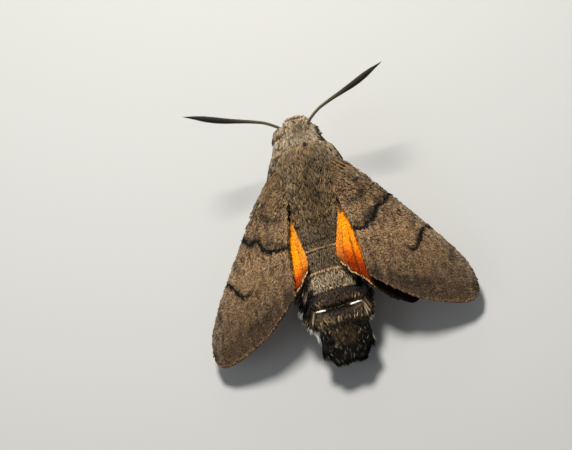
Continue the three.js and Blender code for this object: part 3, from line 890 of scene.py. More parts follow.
@dataclass(frozen=True)
class TuftShape:
    """A closed blade one unit long: half widths at rings along it, arched over the coat."""

    name: str
    rings: tuple[Pair, ...]
    arch: float
    thickness: float
    arch_start: float = 0.1

    def build(self) -> Object:
        """Makes the blade as an object that tufts copy."""
        points, along = [], []
        for share, width in self.rings:
            rise = self.arch * math.sin(math.pi * min(share + self.arch_start, 1))
            for x, z in ((-0.5, 0), (0.5, 0), (0, 1)):
                points.append((x * width, share, rise + z * self.thickness * width))
                along.append((x * width + 0.5, share, 0))
        points.append((0, 1, 0))
        along.append((0.5, 1, 0))
        faces = [(0, 1, 2)]
        sides = ((0, 1), (1, 2), (2, 0))
        end, tip = 3 * (len(self.rings) - 1), len(points) - 1
        for ring in range(0, end, 3):
            for k, following in sides:
                a, b = ring + k, ring + following
                faces += [(a, a + 3, b + 3), (a, b + 3, b)]
        faces += [(end + k, tip, end + following) for k, following in sides]
        values = {"blade": np.array(along, float)}
        return set_aside(new_mesh(self.name, np.array(points, float), faces, values))


class Blade(Enum):
    """The tufts' shapes."""

    HAIR = TuftShape("blade_hair", ((0, 0.55), (0.45, 1)), 0.05, 0.35)
    LOCK = TuftShape("blade_lock", ((0, 0.6), (0.35, 1), (0.75, 0.8)), 0.07, 0.05)
    SCALE = TuftShape("blade_scale", ((0, 0.5), (0.72, 1)), 0.05, 0.12)


@dataclass(frozen=True)
class Coat:
    """One coat of tufts: sizes in millimetres, tufts for each square millimetre, angles in degrees."""

    density: float
    width: float
    length: float
    lift: float
    stray: float = 14
    swirl: float = 16
    swirl_size: float = 0.9
    sink: float = 0.05
    seed: int = 1


class Coats:
    """Grows coats with one shared tree."""

    def __init__(self) -> None:
        """Builds the tree and the blades."""
        self.tufts = TuftTree()
        self.blades = {blade: blade.value.build() for blade in Blade}

    def lay(self, name: str, bed: Object, coat: Coat, blade: Blade, finish: Material,
            slot: Slot) -> None:
        """Grows one coat on a bed, takes the bed away and dresses the coat.

        Args:
            name: The coat's name.
            bed: A surface with cover, lie, rise and reach kept at its points.
            coat: The coat's sizes.
            blade: The tuft's shape.
            finish: The tufts' finish.
            slot: The record's slot of the finish.
        """
        dress(self.tufts.run(bed, name, {
            "Tuft": self.blades[blade], "Density": coat.density / MM**2, "Seed": coat.seed,
            "Width": coat.width * MM, "Length": coat.length * MM, "Lift": math.radians(coat.lift),
            "Stray": math.radians(coat.stray), "Swirl": math.radians(coat.swirl),
            "Swirl Size": coat.swirl_size * MM, "Sink": coat.sink * MM, "Finish": finish,
        }), slot)


def barrel(name: str, profile: Sequence[Pair], sides: int) -> Object:
    """A closed segment one unit long, turned round z, that keeps how far along it each place is.

    Args:
        name: The object's name.
        profile: Height and radius of each of its rings.
        sides: How many sides it has.

    Returns:
        The object, outside the scene.
    """
    angle = np.linspace(0, 2 * math.pi, sides, endpoint=False)
    rows = [np.stack([r * np.cos(angle), r * np.sin(angle), np.full(sides, h)], 1) for h, r in profile]
    notch = np.stack([np.full(sides, h + 0.5) for h, _ in profile])
    return set_aside(sheet_object(name, Sheet(np.stack(rows), {"notch": notch}, closed=True, capped=True)))


# Finishes


def paint(colour: Triple) -> tuple[float, float, float, float]:
    """Turns a screen colour, 0 to 255 each, into the linear colour that shaders take."""
    def linear(part: float) -> float:
        """Undoes the screen's own curve for one part of the colour."""
        part /= 255
        return part / 12.92 if part <= 0.04045 else ((part + 0.055) / 1.055) ** 2.4

    return (*(linear(part) for part in colour), 1.0)


def shader_group(name: str, takes: dict[str, str], gives: dict[str, str]) -> tuple[Nodes, object, object]:
    """Starts a shader group.

    Args:
        name: The group's name.
        takes: The socket type of each named input.
        gives: The socket type of each named output.

    Returns:
        Its nodes, what its inputs give, and its outputs' sockets.
    """
    tree = bpy.data.node_groups.new(name, "ShaderNodeTree")
    for way, sockets in (("INPUT", takes), ("OUTPUT", gives)):
        for key, kind in sockets.items():
            tree.interface.new_socket(key, in_out=way, socket_type=kind)
    return Nodes(tree), tree.nodes.new("NodeGroupInput").outputs, tree.nodes.new("NodeGroupOutput").inputs


@dataclass(frozen=True)
class Layer:
    """One marking: where its mask is 1, its colour covers what is under it by its strength."""

    mask: str
    colour: Triple
    strength: float = 1.0


@dataclass(frozen=True)
class Markings:
    """A set of markings over colours that change along a value kept on the surface."""

    name: str
    along: str
    span: Pair
    ramp: tuple[tuple[float, Triple], ...]
    layers: tuple[Layer, ...] = ()

    def build(self) -> NodeTree:
        """Makes the markings as a shader group that gives one colour."""
        n, _, out = shader_group(self.name, {}, {"Colour": COLOUR})
        low, high = self.span
        ramp = n.node("ShaderNodeValToRGB", {"Fac": n.ranged(n.kept(self.along), low, high)})
        stops = ramp.color_ramp.elements
        for i, (place, colour) in enumerate(self.ramp):
            stop = stops[i] if i < 2 else stops.new(1.0)
            stop.position = (place - low) / (high - low)
            stop.color = paint(colour)
        colour = ramp.outputs["Color"]
        for layer in self.layers:
            covered = n.math("MULTIPLY", n.kept(layer.mask), layer.strength)
            colour = n.mixed(covered, colour, paint(layer.colour))
        n.tree.links.new(colour, out["Colour"])
        return n.tree


def tuft_light_group() -> NodeTree:
    """Makes the group that shades a tuft, each a little differently: painted shade deep in the coat and the
    hair's own darker base darken its root, and its tip is pale.
    """
    takes = {"Colour": COLOUR, **dict.fromkeys(("Root", "Tip", "Spread", "Greying"), NUMBER)}
    n, group, out = shader_group("tuft_light", takes, {"Colour": COLOUR})
    along = n.add("ShaderNodeSeparateXYZ", {"Vector": n.kept("blade", "Vector")}, out="Y")
    shade = n.kept("shade")
    # the dark root is partly the hair's own darker base and partly painted shade deep in the coat
    fade = n.ranged(along, 0.0, 1.0, group["Root"], group["Tip"])
    spread = n.math("MULTIPLY", n.math("SUBTRACT", shade, 0.5), group["Spread"])
    grey = n.math("SUBTRACT", n.math("FRACT", n.math("MULTIPLY", shade, 7.0)), 0.5)
    tint = n.add("ShaderNodeHueSaturation", {
        "Color": group["Colour"], "Value": n.math("MULTIPLY", fade, n.math("ADD", spread, 1.0)),
        "Saturation": n.math("ADD", n.math("MULTIPLY", grey, group["Greying"]), 1.0),
    })
    n.tree.links.new(tint, out["Colour"])
    return n.tree


def grain_group() -> NodeTree:
    """Makes the group that gives a surface fine grain: a height, and its colour mottled."""
    takes = {"Colour": COLOUR, **dict.fromkeys(("Size", "Stretch", "Mottle"), NUMBER)}
    n, group, out = shader_group("fine_grain", takes, {"Colour": COLOUR, "Height": NUMBER})
    fine = n.math("DIVIDE", 1.0, group["Size"])
    long = n.math("DIVIDE", 1.0, n.math("MULTIPLY", group["Size"], group["Stretch"]))
    scale = n.add("ShaderNodeCombineXYZ", {"X": fine, "Y": long, "Z": fine})
    places = n.vector("MULTIPLY", n.add("ShaderNodeTexCoord", out="Object"), scale)
    noise = n.add("ShaderNodeTexNoise", {"Vector": places, "Scale": 1.0, "Detail": 3.0})
    light = n.math("ADD", n.math("MULTIPLY", n.math("SUBTRACT", noise, 0.5), group["Mottle"]), 1.0)
    tint = n.add("ShaderNodeHueSaturation", {"Color": group["Colour"], "Value": light})
    n.tree.links.new(tint, out["Colour"])
    n.tree.links.new(noise, out["Height"])
    return n.tree


@dataclass(frozen=True)
class Finish:
    """A finish, known by its material's name."""

    name: str

    def sockets(self, n: Nodes, groups: Finishes) -> dict[str, object]:
        """Adds the finish's own nodes.

        Args:
            n: The material's nodes.
            groups: The shared shader groups.

        Returns:
            What each of the shader's sockets is set to, or linked to.
        """
        raise NotImplementedError


@dataclass(frozen=True)
class CoatFinish(Finish):
    """Tufts that carry markings: how light root and tip are, and how much tufts differ."""

    marks: Markings
    # How light the root is: the hair's own darker base and painted shade deep in the coat.
    root: float
    tip: float
    spread: float
    roughness: float
    gloss: float = 0.15
    greying: float = 0.4
    uneven: float = 0.08

    def sockets(self, n: Nodes, groups: Finishes) -> dict[str, object]:
        """Adds the markings, and the shading of each tuft."""
        tuft = n.add("ShaderNodeGroup", {
            "Colour": groups.marked(n, self.marks), "Root": self.root, "Tip": self.tip,
            "Spread": self.spread, "Greying": self.greying}, node_tree=groups.tuft_light)
        least, most = self.roughness - self.uneven, self.roughness + self.uneven
        rough = n.ranged(n.kept("shade"), 0.0, 1.0, least, most)
        return {"Base Color": tuft, "Roughness": rough, "Specular IOR Level": self.gloss}


@dataclass(frozen=True)
class SkinFinish(Finish):
    """The skin under a coat, with the coat's own markings: its light beside the coat's, and its grain."""

    marks: Markings
    light: float
    roughness: float
    size: float = 0.1
    stretch: float = 1.0
    gloss: float = 0.08
    mottle: float = 0.9

    def sockets(self, n: Nodes, groups: Finishes) -> dict[str, object]:
        """Adds the markings, dimmed, and the grain."""
        dim = n.add("ShaderNodeHueSaturation", {"Color": groups.marked(n, self.marks), "Value": self.light})
        grain = groups.grained(n, dim, self.size, self.stretch, self.mottle, 0.6, 0.03)
        return {**grain, "Roughness": self.roughness, "Specular IOR Level": self.gloss}


@dataclass(frozen=True)
class HornFinish(Finish):
    """Bare horny parts, with a pale ring on each segment that fades along the piece."""

    colour: Triple
    pale: Triple
    roughness: float
    coat: float = 0.0
    ring_from: float = 0.72
    pale_until: float = 0.0
    ring_blur: float = 0.15
    pale_fade: float = 0.3
    faded: float = 0.1

    def sockets(self, n: Nodes, groups: Finishes) -> dict[str, object]:
        """Adds the rings and the grain."""
        ring = n.ranged(n.kept("notch"), self.ring_from - self.ring_blur, self.ring_from)
        gone = self.pale_until + self.pale_fade
        fade = n.ranged(n.kept("share"), self.pale_until, gone, 1.0, self.faded)
        ringed = n.mixed(n.math("MULTIPLY", ring, fade), paint(self.colour), paint(self.pale))
        return {**groups.grained(n, ringed, 0.06, 1.0, 0.8, 0.4, 0.01), "Roughness": self.roughness,
                "Specular IOR Level": 0.2, "Coat Weight": self.coat, "Coat Roughness": 0.15}


@dataclass(frozen=True)
class LensFinish(Finish):
    """An eye: dark and glossy, mottled from facet to facet."""

    colour: Triple
    pale: Triple
    cell: float

    def sockets(self, n: Nodes, groups: Finishes) -> dict[str, object]:
        """Adds the mottling."""
        places = n.add("ShaderNodeTexCoord", out="Object")
        inputs = {"Vector": places, "Scale": 1 / (self.cell * MM)}
        cells = n.add("ShaderNodeTexVoronoi", inputs, out="Distance")
        return {"Base Color": n.mixed(cells, paint(self.colour), paint(self.pale)), "Roughness": 0.35,
                "Specular IOR Level": 0.2, "Coat Weight": 0.2, "Coat Roughness": 0.06}


@dataclass(frozen=True)
class CardFinish(Finish):
    """Plain matt card."""

    colour: Triple

    def sockets(self, n: Nodes, groups: Finishes) -> dict[str, object]:
        """Sets the card's colour."""
        return {"Base Color": paint(self.colour), "Roughness": 0.9, "Specular IOR Level": 0.1}


class Finishes:
    """The shared shader groups, and each finish's material, built when it is first asked for."""

    def __init__(self) -> None:
        """Builds the shared groups."""
        self.tuft_light = tuft_light_group()
        self.grain = grain_group()
        self.marks: dict[str, NodeTree] = {}
        self.made: dict[str, Material] = {}

    def marked(self, n: Nodes, marks: Markings) -> NodeSocket:
        """Places a set of markings in a material and gives their colour."""
        if marks.name not in self.marks:
            self.marks[marks.name] = marks.build()
        return n.add("ShaderNodeGroup", node_tree=self.marks[marks.name])

    def grained(self, n: Nodes, colour: NodeSocket, size: float, stretch: float, mottle: float,
                strength: float, height: float) -> dict[str, NodeSocket]:
        """Places fine grain in a material.

        Args:
            n: The material's nodes.
            colour: The colour that it mottles.
            size: Its size in millimetres.
            stretch: How much longer it is than wide.
            mottle: How much it changes the colour's light.
            strength: How strongly it is felt.
            height: Its height in millimetres.

        Returns:
            What feeds the shader's colour and normal.
        """
        inputs = {"Colour": colour, "Size": size * MM, "Stretch": stretch, "Mottle": mottle}
        grain = n.node("ShaderNodeGroup", inputs, node_tree=self.grain)
        bump = n.add("ShaderNodeBump", {
            "Height": grain.outputs["Height"], "Strength": strength, "Distance": height * MM})
        return {"Base Color": grain.outputs["Colour"], "Normal": bump}

    def of(self, finish: Finish) -> Material:
        """Gives a finish's material."""
        if finish.name not in self.made:
            material = bpy.data.materials.new(finish.name)
            material.use_nodes = True
            n = Nodes(material.node_tree)
            n.feed(material.node_tree.nodes["Principled BSDF"], finish.sockets(n, self))
            self.made[finish.name] = material
        return self.made[finish.name]


BODY_MARKINGS = Markings(
    name="body_markings",
    along="back",
    span=(-0.5, 30),
    ramp=(
        # The darker stop at 1.9 is painted shade in the crease between head and collar.
        (-0.4, (142, 126, 104)), (1.3, (120, 104, 82)), (1.9, (104, 89, 69)), (2.4, (119, 104, 84)),
        (3.3, (119, 104, 84)), (4.4, (91, 76, 55)), (6.5, (73, 60, 42)), (9.5, (90, 74, 52)),
        (12, (112, 91, 63)), (14.5, (86, 71, 52)), (16.2, (96, 79, 58)), (18.8, (100, 83, 61)),
        (19.1, (142, 125, 101)), (21.1, (134, 118, 96)), (21.3, (48, 36, 23)), (23.4, (37, 28, 19)),
        (24.65, (33, 25, 17)), (24.9, (12, 10, 8)), (29.5, (9, 8, 6)),
    ),
    layers=(
        Layer("under", (168, 156, 132)), Layer("warm", (112, 80, 44), 0.5),
        Layer("grey", (134, 124, 104), 0.6), Layer("tan", (172, 142, 102)),
        Layer("black", (15, 12, 10)), Layer("white", (252, 247, 236)),
    ),
)
FOREWING_MARKINGS = Markings(
    name="forewing_markings",
    along="back",
    span=(-2, 20),
    ramp=(
        (-2, (86, 70, 49)), (2, (104, 84, 60)), (6, (126, 101, 73)), (9, (134, 107, 77)),
        (12, (120, 95, 68)), (14, (106, 84, 60)), (17, (88, 69, 48)), (19, (84, 65, 45)),
    ),
    layers=(
        Layer("edge", (118, 104, 84), 0.6), Layer("warm", (124, 90, 54), 0.5),
        Layer("cloud", (42, 31, 20), 0.9), Layer("rim", (132, 100, 68)), Layer("black", (6, 5, 4)),
        Layer("white", (168, 152, 126)), Layer("under", (142, 84, 38)),
    ),
)
HINDWING_MARKINGS = Markings(
    name="hindwing_markings",
    along="blush",
    span=(0, 1),
    ramp=((0, (238, 152, 4)), (0.35, (220, 116, 2)), (0.65, (172, 68, 2)), (1, (112, 32, 2))),
    layers=(
        Layer("base", (82, 63, 42)), Layer("fold", (176, 116, 54), 0.8), Layer("vein", (62, 22, 4), 0.8),
        Layer("black", (26, 16, 12)), Layer("white", (190, 158, 118)), Layer("under", (214, 128, 34), 0.9),
    ),
)
PALP_MARKINGS = Markings(
    name="palp_markings",
    along="share",
    span=(0, 1),
    ramp=((0, (196, 184, 160)), (0.45, (176, 162, 136)), (0.7, (130, 114, 90)), (1, (104, 86, 64))),
)
LEG_MARKINGS = Markings(
    name="leg_markings",
    along="share",
    span=(0, 1),
    ramp=((0, (166, 152, 126)), (0.4, (124, 106, 80)), (0.6, (96, 78, 56)), (1, (78, 62, 44))),
)

BODY_SKIN = SkinFinish("body_skin", BODY_MARKINGS, light=0.4, roughness=0.85, size=0.12, stretch=4)
BODY_FUR = CoatFinish("body_fur", BODY_MARKINGS, root=0.18, tip=1.45, spread=2.6, roughness=0.7)
REAR_FUR = CoatFinish("rear_fur", BODY_MARKINGS, root=0.12, tip=1.9, spread=3.4, roughness=0.65)
FAN_FUR = CoatFinish("fan_fur", BODY_MARKINGS, root=0.2, tip=1.9, spread=2.6, roughness=0.65, gloss=0.06)
WHITE_FUR = CoatFinish("white_fur", BODY_MARKINGS, root=0.95, tip=1.25, spread=0.3, roughness=0.7)
FOREWING_SKIN = SkinFinish("forewing_membrane", FOREWING_MARKINGS, light=0.6, roughness=0.8)
FOREWING_SCALES = CoatFinish("forewing_scales", FOREWING_MARKINGS, root=0.5, tip=1.3, spread=1.1,
                             roughness=0.72)
HINDWING_SKIN = SkinFinish("hindwing_membrane", HINDWING_MARKINGS, light=0.8, roughness=0.75)
HINDWING_SCALES = CoatFinish("hindwing_scales", HINDWING_MARKINGS, root=0.75, tip=1.1, spread=0.45,
                             roughness=0.85, gloss=0.02, greying=0.1)
PALP_SKIN = SkinFinish("palp_skin", PALP_MARKINGS, light=0.6, roughness=0.8)
PALP_FUR = CoatFinish("palp_fur", PALP_MARKINGS, root=0.4, tip=1.15, spread=0.7, roughness=0.7)
LEG_SKIN = SkinFinish("leg_skin", LEG_MARKINGS, light=0.6, roughness=0.8)
LEG_SCALES = CoatFinish("leg_scales", LEG_MARKINGS, root=0.4, tip=1.2, spread=0.9, roughness=0.7)
# On the antennae the pale rings are painted highlights on the ridges of the segments.
ANTENNA_HORN = HornFinish("antenna_horn", (12, 10, 7), (104, 93, 68), 0.6, ring_from=0.8, pale_until=0.3)
PROBOSCIS_HORN = HornFinish("proboscis_horn", (58, 36, 20), (96, 62, 36), 0.35, 0.4, ring_from=0.6,
                            pale_until=1)
FOOT_HORN = HornFinish("foot_horn", (74, 60, 44), (150, 134, 106), 0.6, ring_from=0.8, pale_until=1)
CLAW_HORN = HornFinish("claw_horn", (40, 29, 20), (40, 29, 20), 0.45, 0.2)
EYE_LENS = LensFinish("eye_lens", (10, 8, 6), (34, 25, 18), cell=0.3)
FLOOR_CARD = CardFinish("floor_card", (150, 150, 148))


# Body


FLAT = (1, 1, 0.4)
BELLY = Fade(0.15, 0.5)
UPPER = Fade(-0.15, 0.1)
LOW_ROWS = Stretch(0.15, 0.75, 0.08)
SPOTTED = (Pattern(0.2, 35, (1, 0.4, 1), least=0.6),)
RAGGED_BACK = Pattern(0.22, 5, FLAT)
RAGGED_ACROSS = Pattern(0.45, 7, FLAT)
UNEVEN_LENGTH = Pattern(1.2, 29)
BODY_MARKS = {
    "under": (
        Patch({"low": BELLY, "s": Fade(24.8, 23.5)}, 0.45),
        Patch({"low": BELLY, "s": Fade(16, 13)}, 0.55),
    ),
    # The black sides are partly the abdomen's own black patches and partly painted shade below the wings'
    # edges.
    "sides": (
        Patch({"ragged": Stretch(19.5, 25.2, 0.5), "wide_share": Fade(0.66, 0.84)}, 1,
              (Pattern(0.2, 25, (1, 0.3, 1), Fade(0.25, 0.5), least=0.35),)),
        Patch({"ragged": Stretch(21.2, 21.9, 0.2), "wide": Fade(1, 2)}, 0.8),
        Patch({"ragged": Stretch(20.4, 21.9, 0.3), "wide": Fade(1.8, 2.5)}),
    ),
    "black": (
        Patch({"past": Stretch(0, 0.14, 0.03), "across": Fade(2, 1.6), "above": UPPER}),
        Patch({"dot": Fade(0.24, 0.12), "above": UPPER}),
    ),
    "bars": (
        Patch({"past": Stretch(0, 0.05, 0.03), "across": Stretch(1.6, 2.1, 0.3, 0.9), "above": UPPER}),
    ),
    "tufts": (
        Patch({"ragged": Stretch(20.5, 21.6, 0.2), "left": Past(0), "low": LOW_ROWS}),
        Patch({"ragged": Stretch(22.9, 24.5, 0.2), "left": Past(0), "low": LOW_ROWS}),
        Patch({"ragged": Stretch(21.2, 23.8, 0.2), "right": Past(0), "low": LOW_ROWS}, 0.8),
    ),
    "spots": (
        Patch({"across": Glow(0.7746, 2.6), "s": Glow(0.6708, 22.6)}, 0.6, SPOTTED),
        Patch({"across": Glow(0.9487, 2.2), "s": Glow(0.5, 24.05)}, 0.25, SPOTTED),
    ),
    "tan": (
        Patch({"s": Stretch(16.26, 16.42, 0.04)}, 1, (Pattern(0.3, 11, FLAT, over=0.3, least=0.4),)),
        Patch({"s": Stretch(18.85, 19.12, 0.07)}, 0.9, (Pattern(0.25, 12, FLAT, least=0.4, gain=1),)),
        Patch({"s": Stretch(21.02, 21.2, 0.05)}, 1, (Pattern(0.3, 13, FLAT, over=0.5),)),
        Patch({"ragged": Stretch(24.3, 24.5, 0.1)}, 0.35),
        Patch({"s": Stretch(25.3, 26, 0.4, 1.5), "wide": Fade(1.6, 0.8)}, 0.1),
        Patch({"past": Stretch(-0.2, -0.1, 0.03), "across": Fade(2.2, 1.9)}, 1,
              (Pattern(0.17, 21, FLAT, over=0.5),)),
        Patch({"s": Stretch(4.6, 8.5, 1.2)}, 0.12, (Pattern(0.7, 18, FLAT, Fade(0.35, 0.75)),)),
    ),
    "warm": (
        Patch({"s": Stretch(7, 11.5, 2), "share": Fade(0.55, 0.95)}, 0.5, (Pattern(0.8, 19, FLAT),)),
        Patch({"s": Stretch(4.6, 12, 1)}, 0.35, (Pattern(0.5, 23, FLAT, least=-0.3, gain=1),)),
    ),
    "grey": (
        Patch({"s": Stretch(3, 7.5, 1.6), "share": Fade(0.55, 0.92), "above": UPPER}),
        Patch({"s": Past(24.9)}, 1, (Pattern(0.13, 17, (1, 0.5, 1), over=0.76),)),
    ),
}


class Lie(Enum):
    """Which way a coat's tufts point."""

    BACK = "backwards"
    FACE = "forwards over the face and backwards behind it"
    OUT = "outwards over what stands at the side"
    BROW = "outwards over the eye"
    FAN = "backwards, spreading to a round edge"


@dataclass(frozen=True)
class Band:
    """A stretch of the body that one coat covers: from and to in millimetres, angles in degrees."""

    name: str
    start: float
    end: float
    coat: Coat
    slot: Slot
    low: float = 0
    high: float = 360
    finish: Finish = BODY_FUR
    blade: Blade = Blade.HAIR
    lie: Lie = Lie.BACK
    spread: float = 0.6
    only: str = ""
    feather: float = 0
    sunk: float = 0
    step: float = 0.12


@dataclass
class Growth:
    """How a coat grows at each place: its lie, and how far it spreads, rises and reaches."""

    lie: Array
    spread: Array | float
    rise: Array
    reach: Array


@dataclass
class Trunk:
    """Head, thorax and abdomen: one skin, with coats of fur and flat scales over it."""

    stance: Stance
    coats: Coats
    finishes: Finishes
    outline: Outline = TRUNK
    depth_at: tuple[Pair, ...] = (
        (-0.35, 0.2), (0.6, 0.34), (3.2, 0.36), (5, 0.5), (12, 0.5), (15, 0.3), (22, 0.36), (25, 0.36),
        (27.3, 0.25), (28.9, 0.15),
    )
    neck: Glow = Glow(0.2, 2)
    neck_depth: float = 0.02
    segment_ends: tuple[float, ...] = (16.4, 19, 21.2, 23.45)
    segment_step: float = 0.1
    segment_fall: float = 1.3
    slit: float = 23.45
    slit_bow: float = 0.06
    dot: Pair = (0.72, 4.12)
    dot_stretch: float = 1.4
    rear_bow: float = 0.05
    fan_edge: tuple[Pair, ...] = (
        (-3.1, 27.8), (-2.9, 28.3), (-2.3, 29.1), (-1.7, 29.5), (-0.9, 29.6), (0.7, 29.3), (1.8, 29.1),
         (2.6, 28.4),
        (3, 27.4), (3.2, 26.8))
    fan_widening: float = 1.17
    fan_spread: float = 0.17
    waist: float = 15.4
    skin_from: float = -0.3
    skin_to: float = 28.85
    skin_step: float = 0.16
    columns: int = 112

    def depth(self, s: Array) -> Array:
        """How far the skin lies under the coat's surface, deeper in the neck and behind each segment."""
        at, depths = zip(*self.depth_at)
        deep = np.interp(s, at, depths) + self.neck_depth * self.neck.of(s)
        for end in self.segment_ends:
            deep = deep + self.segment_step * (s > end) * smooth(s, end + self.segment_fall, end)
        return deep

    def slit_at(self, x: Array) -> Array:
        """How far back the slit of the last segment but one lies, x from the middle."""
        return self.slit - self.slit_bow * x**2

    def marks(self, places: Array) -> Values:
        """Works out the markings.

        Args:
            places: Body places.

        Returns:
            A mask from 0 to 1 for each marking, and how far back each place is.
        """
        x, s, z = np.moveaxis(places, -1, 0)
        half, top, bottom = self.outline.at(s)
        across = np.abs(x)
        wide = across + RAGGED_ACROSS.shift(places, 0.9)
        measures = {
            "left": -x, "right": x, "s": s, "above": z / top, "low": -z / bottom,
            "across": across, "share": across / half, "wide": wide, "wide_share": wide / half,
            "ragged": s + RAGGED_BACK.shift(places, 0.5), "past": s - self.slit_at(x),
            "dot": np.hypot(x - self.dot[0], (s - self.dot[1]) / self.dot_stretch),
        }
        sums = add_up(BODY_MARKS, measures, places)
        spots = sums["spots"]
        # the sides' black is partly painted shade below the wings' edges
        sides = sums["sides"] * (1 - 0.6 * BELLY.of(measures["low"])) * (1 - 1.2 * spots)
        return {
            "back": s - self.rear_bow * np.clip(x**2, 0, 9) * smooth(s, 23.8, 24.6),
            "under": sums["under"],
            "black": np.clip(sides + sums["black"], 0, 1) * (1 - sums["bars"]),
            "white": np.clip(sums["bars"] + sums["tufts"], 0, 1),
            "tan": np.clip((sums["tan"] + spots) * UPPER.of(measures["above"]), 0, 1),
            "warm": np.clip(sums["warm"], 0, 1),
            "grey": np.clip(sums["grey"], 0, 1),
        }

    def sheet(self, start: float, end: float, step: float, low: float = 0, high: float = 360,
              sunk: float = 0) -> tuple[Sheet, Array]:
        """Makes a stretch of the skin.

        Args:
            start: Its front end.
            end: Its rear end.
            step: Spacing of its rings.
            low: First angle round the body, in degrees.
            high: Last angle.
            sunk: How much deeper than the skin it lies.

        Returns:
            The sheet, in the frame, with its markings, and its body places.
        """
        whole = high - low >= 360
        rows = max(int((end - start) / step), 4)
        s = np.linspace(start, end, rows)[:, None]
        angles = np.radians(np.linspace(low, high, self.columns, endpoint=not whole))[None, :]
        s, angles = np.broadcast_arrays(s, angles)
        places = self.outline.ring(s, angles, self.depth(s) + sunk)
        return Sheet(self.stance.place(places), self.marks(places), closed=whole, capped=whole), places

    def fan_reach(self, places: Array, length: float) -> Array:
        """How much of its full length each of the fan's tufts has, so that their tips end on a round edge.

        Args:
            places: Body places of the roots.
            length: The full length.

        Returns:
            The share of the full length.
        """
        across, back = zip(*self.fan_edge)
        edge = np.interp(self.fan_widening * places[..., 0], across, back)
        return np.clip((edge - places[..., 1]) / length, 0.25, 1.1)

    def plain_growth(self, band: Band, sheet: Sheet, places: Array) -> Growth:
        """A coat's growth before it turns: backwards, shorter at the waist and cut short before the slit.

        Args:
            band: The stretch of body.
            sheet: Its sheet.
            places: Its body places.

        Returns:
            The growth at each place.
        """
        x, s, z = np.moveaxis(places, -1, 0)
        reach = 1 + UNEVEN_LENGTH.shift(places, 0.25)
        reach = reach * (1 - 0.45 * smooth(s, 10.5, 15) * (s < self.waist))
        if not band.only and band.lie is Lie.BACK:
            left = (self.slit_at(x) - s) / (1.1 * band.coat.length)
            reach = np.where((left > 0) & (z > 0), np.minimum(reach, np.maximum(left, 0.15)), reach)
            reach = reach * (1 - 0.7 * Stretch(0, 0.15, 0.02).of(-left) * (z > 0))
        spread = 0.25 * Stretch(3.5, 12.5, 1.5).of(s)
        return Growth(unit(np.gradient(sheet.places, axis=0)), spread, np.ones(s.shape), reach)

    def turn_growth(self, growth: Growth, band: Band, places: Array) -> None:
        """Turns a coat's growth to the way that its tufts lie.

        Args:
            growth: The growth, which changes.
            band: The stretch of body.
            places: Its body places.
        """
        x, s, z = np.moveaxis(places, -1, 0)
        across = np.abs(x)
        if band.lie is Lie.FACE:
            face = smooth(s, 0.5, 0) * smooth(z, -0.6, 0.4)
            corner = smooth(across, 0.6, 1.5) * smooth(s, 2, 0.8)
            growth.lie = growth.lie * (1 - 2 * face[..., None])
            growth.spread = 0.35 * face
            growth.rise = growth.rise + 0.5 * face
            growth.reach = growth.reach * (1 - 0.45 * face) * (1 - 0.55 * corner)
        elif band.lie is Lie.OUT:
            growth.spread = band.spread
            if not band.only:
                growth.reach = growth.reach * (1 - 0.5 * smooth(s, 23, 24.6))
        elif band.lie is Lie.BROW:
            growth.lie, growth.spread = growth.lie * 0.45, 1
        elif band.lie is Lie.FAN:
            growth.spread = self.fan_spread * across / self.outline.at(s)[0]
            growth.reach = self.fan_reach(places, band.coat.length)

    def bed(self, band: Band) -> Object:
        """Makes the surface that one coat grows from, with the coat's lie, reach, rise and cover.

        Args:
            band: The stretch of body.

        Returns:
            The surface as an object.
        """
        sheet, places = self.sheet(band.start, band.end, band.step, band.low, band.high, band.sunk)
        growth = self.plain_growth(band, sheet, places)
        self.turn_growth(growth, band, places)
        x, s, z = np.moveaxis(places, -1, 0)
        edge = np.sign(x) * smooth(np.abs(x) / self.outline.at(s)[0], 0, 0.7)
        outward = self.stance.direction(np.stack([edge, 0 * s, 0 * z], -1))
        spread = np.broadcast_to(growth.spread, s.shape)[..., None]
        from_eye = np.linalg.norm(np.stack([np.abs(x), s, z], -1) - np.array(EYE_CENTRE), axis=-1)
        cover = (from_eye > EYE_RADIUS + 0.05).astype(float)
        if band.feather:
            cover = cover * smooth(s, band.start, band.start + band.feather)
        marked = sheet.values[band.only] if band.only else 1 - sheet.values["white"] * (z > 0)
        sheet.values["lie"] = unit(growth.lie + outward * spread)
        sheet.values["rise"] = growth.rise
        sheet.values["reach"] = growth.reach
        sheet.values["cover"] = cover * marked
        return sheet_object(band.name, sheet, ROOT_MAP)

    def build(self) -> None:
        """Builds the skin and its coats."""
        sheet, _ = self.sheet(self.skin_from, self.skin_to, self.skin_step)
        dress(sheet_object("body_skin", sheet), Slot.THORAX, "head", "thorax", "abdomen", "tail_fan",
              finish=self.finishes.of(BODY_SKIN))
        for band in BANDS:
            finish = self.finishes.of(band.finish)
            self.coats.lay(band.name, self.bed(band), band.coat, band.blade, finish, band.slot)


def both_sides(name: str, low: float, high: float, seed: int, **rest: object) -> tuple[Band, Band]:
    """Makes the same band on the right, between two angles, and on the left.

    Args:
        name: The coats' name, without the side.
        low: First angle on the right side.
        high: Last angle there.
        seed: Picks the right coat's tufts, and the next number the left's.
        **rest: The band's other fields, with its coat.

    Returns:
        The right band and the left one.
    """
    right = Band(name=f"{name}_right", low=low, high=high, **rest)
    left = replace(right, name=f"{name}_left", low=180 - high, high=180 - low)
    return (replace(right, coat=replace(right.coat, seed=seed)),
            replace(left, coat=replace(left.coat, seed=seed + 1)))


